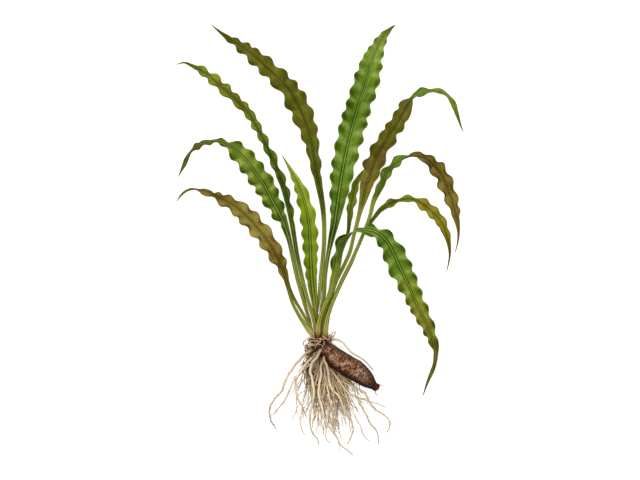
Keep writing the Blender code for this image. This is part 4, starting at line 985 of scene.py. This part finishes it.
def tubeTree():
    # thickens every line of a mesh into a root: the line's thick attribute is its thickness
    tree, given = newTree("rootTubes", {
        "Step": "Float", "Sides": "Int", "Wobble": "Float", "Wave Length": "Float", "Uneven": "Float",
        "Seed": "Float", "Material": "Material"})
    times = partial(calc, tree, "MULTIPLY")
    curve = joined(tree, "GeometryNodeMeshToCurve", {"Mesh": given["Geometry"]})
    curve = joined(tree, "GeometryNodeResampleCurve", {
        "Curve": curve, "Length": given["Step"]}, mode="LENGTH")
    scale, detail, strength = tubeForm["thicknessNoise"]
    cloud = joined(tree, "ShaderNodeTexNoise", {"Scale": scale, "Detail": detail}, "Fac")
    change = times(calc(tree, "SUBTRACT", cloud, 0.5), times(given["Uneven"], strength))
    radius = times(times(fetched(tree, "thick"), 0.5), calc(tree, "ADD", change, 1.0))
    lastly(tree, tubes(tree, curve, radius, given), given["Material"])
    return tree


def chance(tree, seed, low, high):
    # a random number for every point, or a random direction where low and high have three parts
    kind, inputs, output = ("FLOAT_VECTOR", {0: low, 1: high}, 0) if isinstance(low, tuple) else (
        "FLOAT", {2: low, 3: high}, 1)
    return joined(tree, "FunctionNodeRandomValue", {**inputs, "Seed": seed}, output, data_type=kind)


def hairs(tree, given, form, where, way, size, own):
    # sets a line on every point, turned the given way, and thickens it into a hair
    times = partial(calc, tree, "MULTIPLY")
    turn = joined(tree, "FunctionNodeAlignRotationToVector", {"Vector": way}, axis="X")
    line = joined(tree, "GeometryNodeCurvePrimitiveLine", {
        "Start": (form["rooted"], 0, 0), "End": (1, 0, 0)})
    line = joined(tree, "GeometryNodeResampleCurve", {
        "Curve": line, "Count": form["count"]}, mode="COUNT")
    placed = joined(tree, "GeometryNodeInstanceOnPoints", {
        **where, "Instance": line, "Rotation": turn, "Scale": times(given["Length"], size)})
    placed = stored(tree, placed, "own", own, "INSTANCE")
    real = joined(tree, "GeometryNodeRealizeInstances", {"Geometry": placed})
    factor = joined(tree, "GeometryNodeSplineParameter", {}, "Factor")
    fade = calc(tree, "SUBTRACT", 1.0, times(factor, form["taper"]))
    radius = times(times(given["Thickness"], 0.5), fade)
    lastly(tree, tubes(tree, real, radius, form.get("tubes", given)), given["Material"])


def sideRootTree(form):
    # sets thin rootlets along every line of a mesh, leaning towards its end
    tree, given = newTree("sideRoots", {
        "Spacing": "Float", "Length": "Float", "Spread": "Float", "Thickness": "Float", "Keep": "Float",
        "Sides": "Int", "Wobble": "Float", "Wave Length": "Float", "Seed": "Float", "Material": "Material"})
    curve = joined(tree, "GeometryNodeMeshToCurve", {"Mesh": given["Geometry"]})
    spread = tree.nodes.new("GeometryNodeCurveToPoints")
    spread.mode = "LENGTH"
    tree.links.new(curve, spread.inputs["Curve"])
    tree.links.new(given["Spacing"], spread.inputs["Length"])

    def pick(extra, low, high):
        return chance(tree, calc(tree, "ADD", given["Seed"], extra), low, high)

    kept = joined(tree, "FunctionNodeCompare", {
        0: pick(1.0, 0.0, 1.0), 1: given["Keep"]}, data_type="FLOAT", operation="LESS_THAN")
    lean = calc(tree, "MULTIPLY", pick(2.0, -1.0, 1.0), given["Spread"])
    way = joined(tree, "ShaderNodeVectorRotate", {"Vector": spread.outputs["Tangent"], "Angle": lean},
                 rotation_type="Z_AXIS")
    where = {"Points": spread.outputs["Points"], "Selection": kept}
    hairs(tree, given, form, where, vectorCalc(tree, "MULTIPLY", way, form["flatness"]),
          pick(3.0, *form["sizes"]), pick(4.0, 0.0, 1.0))
    return tree


def lineMesh(name, lines, step):
    # lines of points in mm with a thickness attribute, as a mesh of edges only
    dice = random.Random(name)
    points, edges, thick, own = [], [], [], []
    for route, (first, last) in lines:
        places, value = followRoute(route, step)[:2]
        start = len(points)
        points += (value[:, :3] * mm).tolist()
        thick += (first + (last - first) * (places / places[-1]) ** 1.5).tolist()
        edges += [(start + k, start + k + 1) for k in range(len(places) - 1)]
        own += [dice.random()] * len(places)
    mesh = bpy.data.meshes.new(name)
    mesh.from_pydata(points, edges, [])
    addValue(mesh, "thick", np.array(thick, np.float32) * mm)
    addValue(mesh, "own", own)
    return addObject(name, mesh)


def grown(guide, name, tree, inputs):
    # runs a node tree on the guide, keeps the result as a plain mesh and drops the guide
    modifier = guide.modifiers.new("grow", "NODES")
    modifier.node_group = tree
    names = {item.name: item.identifier for item in tree.interface.items_tree if item.in_out == "INPUT"}
    for key, value in inputs.items():
        modifier[names[key]] = value
    guide.update_tag()
    bpy.context.view_layer.update()
    shape = bpy.data.meshes.new_from_object(guide.evaluated_get(bpy.context.evaluated_depsgraph_get()))
    guide.modifiers.remove(modifier)
    bpy.data.objects.remove(guide)
    shape.name = name
    return addObject(name, shape)


def grownTubes(guide, name, form, seed, paint):
    return grown(guide, name, tubeNodes, {
        "Step": form["step"] * mm, "Sides": form["sides"], "Wobble": form["wobble"] * mm,
        "Wave Length": form["waveLength"] * mm, "Uneven": form["uneven"], "Seed": seed, "Material": paint})


rootPaint = {
    "roughness": 0.6, "specular": 0.2, "relief": 0.5, "reliefDepth": 0.0002,
    "patches": 190.0, "fine": 1500.0,       # noise scales
    "layers": [
        ("MIX", "dark", "patches", (0.5, 0.8, 0.5)),
        ("MIX", (246, 234, 212), "fine", (0.5, 0.8, 0.35)),
        ("MULTIPLY", (200, 180, 148), "own", (0.35, 1.0, 0.5)),
        ("MULTIPLY", (118, 86, 50), "upward", (0.88, 0.2, 0.85)),      # painted shade on the sides and underside
        ("MULTIPLY", (252, 245, 230))],
    "stops": (0.0, 0.17, 0.42, 1.0),        # shares of the root's length where its colours are
    # each skin's colour at the root's start, its middle and its tip, and its dark patches; a dark start is
    # painted shade under the crown
    "mainRootSkin": ((184, 156, 124), (254, 242, 226), (188, 164, 128), (172, 142, 108)),
    "endRootSkin": ((112, 72, 44), (168, 126, 92), (190, 154, 120), (120, 82, 56)),
    "rootPale": ((96, 66, 38), (228, 210, 180), (214, 196, 162), (180, 154, 116)),
    "rootKhaki": ((44, 24, 10), (184, 156, 108), (224, 206, 170), (142, 112, 70)),
    # the lowest fine roots, dark as painted shade between the roots near the crown
    "rootOld": ((34, 18, 8), (84, 58, 32), (164, 140, 102), (50, 32, 16)),
    "crownRootletSkin": ((150, 114, 80), (226, 196, 162), (184, 152, 116), (124, 88, 60)),
}


def rootMaterial(name):
    paint = rootPaint
    start, middle, tip, dark = paint[name]
    material, tree, shader = newMaterial(name, paint["roughness"], paint["specular"])
    stops = list(zip(paint["stops"], (start, blended(start, middle), middle, tip)))
    normal = joined(tree, "ShaderNodeNewGeometry", {}, "Normal")
    sources = {"patches": noise(tree, paint["patches"]), "fine": noise(tree, paint["fine"]),
               "own": surfaceValue(tree, "own"),
               "upward": joined(tree, "ShaderNodeSeparateXYZ", {0: normal}, 2)}
    skin = colourRamp(tree, surfaceValue(tree, "along"), stops)
    skin = layered(tree, skin, paint["layers"], sources, {"dark": dark})
    finishPaint(tree, shader, skin, sources["fine"], paint["relief"], paint["reliefDepth"])
    return material


mainRootPaint, endRootPaint = rootMaterial("mainRootSkin"), rootMaterial("endRootSkin")
tubeNodes = tubeTree()
for number, (name, root) in enumerate(mainRoots.items()):
    guide = lineMesh(name + "Line", [(rootRoute(root), root["thick"])], rootForm["step"])
    paint = endRootPaint if name in rootForm["endRoots"] else mainRootPaint
    piece = grownTubes(guide, name.replace("_", "") + "Skin", rootForm, float(number * 3), paint)
    finishPiece(piece, [name])
print("main roots made:", len(mainRoots))

fineRoots = {
    # piece, number, thickness at start and tip, share of the full reach, height at the start, skin
    # the first layer's dark rootlets are painted shade in the gaps between the roots near the crown
    "layers": [("rootsOld", 240, (1.4, 0.5), (0.14, 0.55), (0.4, 2.6), "rootOld"),
               ("rootsKhaki", 124, (0.9, 0.35), (0.4, 0.96), (0.8, 3.8), "rootKhaki"),
               ("rootsPale", 46, (1.4, 0.6), (0.5, 1.0), (2.5, 6.0), "rootPale")],
    "startLine": [(-8, -86), (17, -102)], "centre": (2.0, -88.0),
    # the fan's reach: angle from straight down, in degrees, and distance from the centre, in mm
    "reach": [(-35, 50), (-24, 60), (-16, 66), (-8, 71), (0, 76), (8, 77), (16, 75), (24, 71), (32, 66),
              (40, 62), (54, 54)],
    "overhang": 0.08, "crowding": 0.45,  # how far they start past the line's ends, and crowd in its middle
    "angleSway": 0.06, "shortPower": 1.25,       # how much their angles differ, and how many are short
    "rise": 1, "shift": (-2, 3), "tipHeight": (0.3, 0.8), "bend": 0.7, "bounce": 0.3,
    "sway": 2.3, "forkChance": 0.75, "forkSide": (2.5, 6), "forkHeight": 0.5, "forkThickness": 0.7,
    "firstSeed": 3, "lineStep": 3.0,
    "step": 1.1, "sides": 5, "wobble": 1.1, "waveLength": 9, "uneven": 0.3,
}


def fanLines(count, thick, shares, heights, seed):
    form = fineRoots
    dice = random.Random(seed)
    lines = []
    angles, reaches = zip(*form["reach"])
    (x0, y0), (x1, y1) = form["startLine"]
    cx, cy = form["centre"]
    crowding, overhang = form["crowding"], form["overhang"]
    lowest, spread = form["tipHeight"]
    for _ in range(count):
        u = (dice.random() + crowding * dice.random()) / (1 + crowding) * (1 + 2 * overhang) - overhang
        turn = min(1, max(0, u + dice.gauss(0, form["angleSway"])))
        angle = angles[0] + (angles[-1] - angles[0]) * turn
        share = shares[0] + (shares[1] - shares[0]) * dice.random() ** form["shortPower"]
        reach = float(np.interp(angle, angles, reaches)) * share
        angle = math.radians(angle)
        high = dice.uniform(*heights) + form["rise"]
        start = np.array((x0 + (x1 - x0) * u, y0 + (y1 - y0) * u, high))
        start[1] += dice.uniform(*form["shift"])
        low = lowest + dice.uniform(0, spread)
        end = np.array((cx + math.sin(angle) * reach, cy - math.cos(angle) * reach, low))
        beside = np.array((math.cos(angle), math.sin(angle), 0))
        route = [start]
        for step in (0.2, 0.4, 0.6, 0.8):
            spot = start * (1 - step) + end * step + beside * dice.gauss(0, form["sway"])
            bounce = dice.uniform(-form["bounce"], form["bounce"])
            spot[2] = end[2] + (start[2] - end[2]) * (1 - step) ** form["bend"] + bounce
            route.append(spot)
        route.append(end)
        lines.append((route, thick))
        if dice.random() < form["forkChance"]:
            k = dice.choice((2, 3))
            side = beside * dice.choice((-1, 1)) * dice.uniform(*form["forkSide"])
            tip = (route[k + 1] + route[min(k + 2, 5)]) / 2 + side
            tip[2] = form["forkHeight"]
            fork = [route[k], (route[k] + tip) / 2 + side / 4, tip]
            lines.append((fork, (thick[0] * form["forkThickness"], thick[1])))
    return lines


fanPaints = {skin: rootMaterial(skin) for skin in ("rootPale", "rootKhaki", "rootOld")}
for seed, (name, count, thick, shares, heights, skin) in enumerate(fineRoots["layers"]):
    lines = fanLines(count, thick, shares, heights, seed + fineRoots["firstSeed"])
    guide = lineMesh(name + "Lines", lines, fineRoots["lineStep"])
    piece = grownTubes(guide, name, fineRoots, float(seed), fanPaints[skin])
    finishPiece(piece, ["fine_roots"] if skin == "rootPale" else [])

sideRoots = {
    "without": ("root_01", "root_02", "root_12", "root_13", "root_14", "root_15", "root_07_fork_right"),
    "above": 18,                 # mm from the plant's lower end, so that they stay on the plant's length
    "lineStep": 2.0, "rooted": 0.0, "count": 12, "taper": 0.7, "sizes": (0.35, 1.0),
    "flatness": (1.0, 1.0, 0.3),         # they lie flatter than the root they grow on
    "inputs": {"Spacing": 4 * mm, "Length": 13 * mm, "Spread": 0.7, "Thickness": 0.46 * mm, "Keep": 0.8,
               "Sides": 5, "Wobble": 0.7 * mm, "Wave Length": 6 * mm, "Seed": 4.0},
}
lowest = cadBox[0][1] / mm + sideRoots["above"]
routes = [([spot for spot in root["route"] if spot[1] > lowest], root["thick"])
          for name, root in mainRoots.items() if name not in sideRoots["without"]]
lines = [line for line in routes if len(line[0]) > 2]
guide = lineMesh("sideRootLines", lines, sideRoots["lineStep"])
piece = grown(guide, "sideRootlets", sideRootTree(sideRoots), {
    **sideRoots["inputs"], "Material": fanPaints["rootPale"]})
finishPiece(piece)
print("fine roots made")


# Crown: curled rootlets and the torn fibres that hide where stalks meet tuber

crown = {
    # thickness at start and tip, then the route, in mm
    "rootlets": [
        ((1.8, 1.0), [(0.8, -77.6, 17.2), (-0.9, -81.1, 17.2), (-2.7, -84.1, 16), (-3.9, -87.8, 13)]),
        ((1.1, 0.5), [(1.9, -75.4, 17.6), (3.3, -77.6, 17.4), (5.1, -79.9, 16.6), (6.4, -81.6, 15)]),
        ((1.4, 0.5), [(5.8, -79.6, 15.5), (8.3, -76.2, 14), (9.6, -74.2, 13.6), (12.2, -73.6, 13.6)]),
        ((1.4, 0.8), [(0.6, -81.4, 17), (-3.4, -80.2, 16.6), (-7.4, -81.2, 13.6), (-9.6, -83.4, 10)]),
        ((1.2, 0.7), [(-0.4, -82.4, 17), (-3.4, -83.3, 15.8), (-6.9, -82.8, 13.2), (-9, -84.8, 10)]),
        ((1.5, 0.8), [(-1.6, -84.6, 16.4), (-5.6, -84.2, 13.6), (-9.9, -85.6, 9), (-12.4, -89, 6)]),
        ((1.0, 0.5), [(-2.4, -84.6, 16.6), (0.6, -83.8, 17.4), (2.3, -85.8, 17), (1.6, -88, 16)]),
        ((1.0, 0.5), [(2.1, -80.6, 17.2), (3.5, -82.9, 17.4), (2.3, -84.9, 17.2), (3.4, -86.6, 16.8)]),
        ((1.1, 0.5), [(-2.8, -79.6, 16), (-5.6, -78.2, 14.8), (-7.6, -78.6, 13.4), (-9.4, -80.4, 12)]),
        ((1.2, 0.5), [(5.6, -81.4, 15.8), (7.6, -78.8, 14.6), (7.0, -76.2, 15), (8.6, -74.8, 15)]),
        ((1.0, 0.5), [(-4.6, -82, 15.4), (-2.2, -79.2, 17), (-1.2, -76.8, 17.4)]),
        ((0.9, 0.4), [(3.6, -79.2, 17), (0.4, -79.8, 17.8), (-1.8, -78.4, 17.4)]),
        ((1.0, 0.5), [(-6.2, -86.2, 12.6), (-10.2, -88.6, 8.6), (-13.6, -92.8, 5)]),
        ((1.0, 0.5), [(0.4, -87.4, 16.4), (-3.6, -90.4, 13), (-6.4, -95, 9)]),
        ((0.9, 0.4), [(8.4, -80.6, 12.6), (10.4, -83.6, 12.4), (13.2, -85.4, 12)])],
    "seed": 9.0, "lineStep": 0.8, "step": 0.5, "sides": 8, "wobble": 0.9, "waveLength": 5, "uneven": 0.3,
}

fibres = {
    # where on the tuber, from and to in mm along it; number on each square mm; length and thickness in mm
    "layers": {"crownFibres": (-9, 9.0, 1.15, 4.6, 0.34), "tuberHairs": (9.0, 30.0, 0.05, 3.2, 0.18)},
    "lean": (-0.15, 0.75, 0.3), "tangle": (0.9, 0.9, 0.5),     # which way, and how much they differ
    "seed": 6, "lowest": 5,              # mm above the surface, below which none grow
    "rooted": -0.1, "count": 7, "taper": 0.75, "sizes": (0.35, 1.25),
    "tubes": {"Wobble": 0.0014, "Wave Length": 0.004, "Seed": 2.0, "Sides": 4},
    "roughness": 0.6, "specular": 0.2, "rootColour": (40, 20, 12), "rootFrom": (0.6, 0.0, 0.6),
    "colours": [(0.0, (20, 8, 3)), (0.6, (40, 20, 10)), (0.76, (84, 50, 28)), (0.9, (140, 104, 74)),
                (1.0, (186, 152, 116))],
}


def fibreTree(form):
    # scatters thin bent fibres on a skin, leaning the way that Lean points
    tree, given = newTree("crownFibres", {"Density": "Float", "Length": "Float", "Thickness": "Float",
                                          "Lean": "Vector", "Seed": "Int", "Material": "Material"})
    spread = tree.nodes.new("GeometryNodeDistributePointsOnFaces")
    tree.links.new(given["Geometry"], spread.inputs["Mesh"])
    tree.links.new(given["Density"], spread.inputs["Density"])
    tree.links.new(given["Seed"], spread.inputs["Seed"])

    def pick(extra, low, high):
        return chance(tree, calc(tree, "ADD", given["Seed"], extra), low, high)

    way = vectorCalc(tree, "ADD", spread.outputs["Normal"], given["Lean"])
    tangle = pick(1.0, tuple(-part for part in form["tangle"]), form["tangle"])
    hairs(tree, given, form, {"Points": spread.outputs["Points"]}, vectorCalc(tree, "ADD", way, tangle),
          pick(2.0, *form["sizes"]), pick(3.0, 0.0, 1.0))
    return tree


def fibreMaterial():
    material, tree, shader = newMaterial("crownFibre", fibres["roughness"], fibres["specular"])
    skin = colourRamp(tree, surfaceValue(tree, "own"), fibres["colours"])
    nearRoot = eased(tree, surfaceValue(tree, "along"), *fibres["rootFrom"])
    skin = blendColour(tree, nearRoot, skin, fibres["rootColour"])
    finishPaint(tree, shader, skin)
    return material


def skinGuide(name, first, last):
    # the tuber's skin between two places along it, as a surface for fibres to grow on
    rows = tuberRings[(tuberPlaces >= first) & (tuberPlaces <= last)]
    points = rows.reshape(-1, 3)
    faces = [face for face in ringFaces(*rows.shape[:2]) if points[face[0]][2] > fibres["lowest"]]
    mesh = bpy.data.meshes.new(name)
    mesh.from_pydata((points * mm).tolist(), [], faces)
    return addObject(name, mesh)


lines = [(route, thick) for thick, route in crown["rootlets"]]
guide = lineMesh("crownRootletLines", lines, crown["lineStep"])
piece = grownTubes(guide, "crownRootlets", crown, crown["seed"], rootMaterial("crownRootletSkin"))
finishPiece(piece)
fibrePaint = fibreMaterial()
fibreNodes = fibreTree(fibres)
for name, (first, last, density, length, thick) in fibres["layers"].items():
    guide = skinGuide(name + "Guide", first, last)
    piece = grown(guide, name, fibreNodes, {
        "Density": density / mm**2, "Length": length * mm, "Thickness": thick * mm, "Lean": fibres["lean"],
        "Seed": fibres["seed"], "Material": fibrePaint})
    finishPiece(piece)
print("crown made")


# Floor, light and camera

stage = {
    "pixel": 0.8, "scaleHeight": 5,      # mm that a pixel shows, at this height above the surface, mm
    "pictureSize": (640, 480), "originPixel": (319.9, 239.9),      # in pixels, and where x = y = 0 is
    "lens": 200.0, "sensor": 36.0, "clipEnd": 20.0,
    "floorColours": ((206, 206, 205), (212, 212, 211)), "floorClouds": 4.0, "cloudsFrom": (0.3, 0.7, 0.5),
    "floorSize": 6.0, "floorHeight": -0.0004,        # metres
    "floorRoughness": 0.9, "floorSpecular": 0.1, "floorGlow": 0.75,
    "world": 0.87, "key": 12.5, "keyPlace": (-0.9, 0.9, 1.3), "keySize": 1.2,
}


def makeFloor():
    mesh = bpy.data.meshes.new("floor")
    half, low = stage["floorSize"] / 2, stage["floorHeight"]
    corners = [(-half, -half, low), (half, -half, low), (half, half, low), (-half, half, low)]
    mesh.from_pydata(corners, [], [(0, 1, 2, 3)])
    material, tree, shader = newMaterial("floorPaper", stage["floorRoughness"], stage["floorSpecular"])
    patches = eased(tree, noise(tree, stage["floorClouds"]), *stage["cloudsFrom"])
    finishPaint(tree, shader, blendColour(tree, patches, *stage["floorColours"]))
    shader.inputs["Emission Color"].default_value = (1, 1, 1, 1)
    shader.inputs["Emission Strength"].default_value = stage["floorGlow"]
    mesh.materials.append(material)
    floor = addObject("floor", mesh)


def makeLight():
    world = bpy.data.worlds.new("studio")
    world.use_nodes = True
    world.node_tree.nodes["Background"].inputs["Color"].default_value = (1, 1, 1, 1)
    world.node_tree.nodes["Background"].inputs["Strength"].default_value = stage["world"]
    bpy.context.scene.world = world
    light = bpy.data.lights.new("key", "AREA")
    light.energy = stage["key"]
    light.size = stage["keySize"]
    lamp = addObject("key", light)
    x, y, z = lamp.location = stage["keyPlace"]
    lamp.rotation_euler = (math.atan2(math.hypot(x, y), z), 0, math.atan2(y, x) + math.pi / 2)


def makeCamera():
    lens = bpy.data.cameras.new("camera")
    lens.lens = stage["lens"]
    lens.sensor_width = stage["sensor"]
    lens.clip_end = stage["clipEnd"]
    width, height = stage["pictureSize"]
    x, y = stage["originPixel"]
    distance = width * stage["pixel"] * mm * stage["lens"] / stage["sensor"]
    camera = addObject("camera", lens)
    camera.location = ((width / 2 - x) * stage["pixel"] * mm, (y - height / 2) * stage["pixel"] * mm,
                       distance + stage["scaleHeight"] * mm)
    bpy.context.scene.camera = camera


makeFloor()
makeLight()
makeCamera()
bpy.context.scene.view_settings.view_transform = "Standard"
print("stage made")
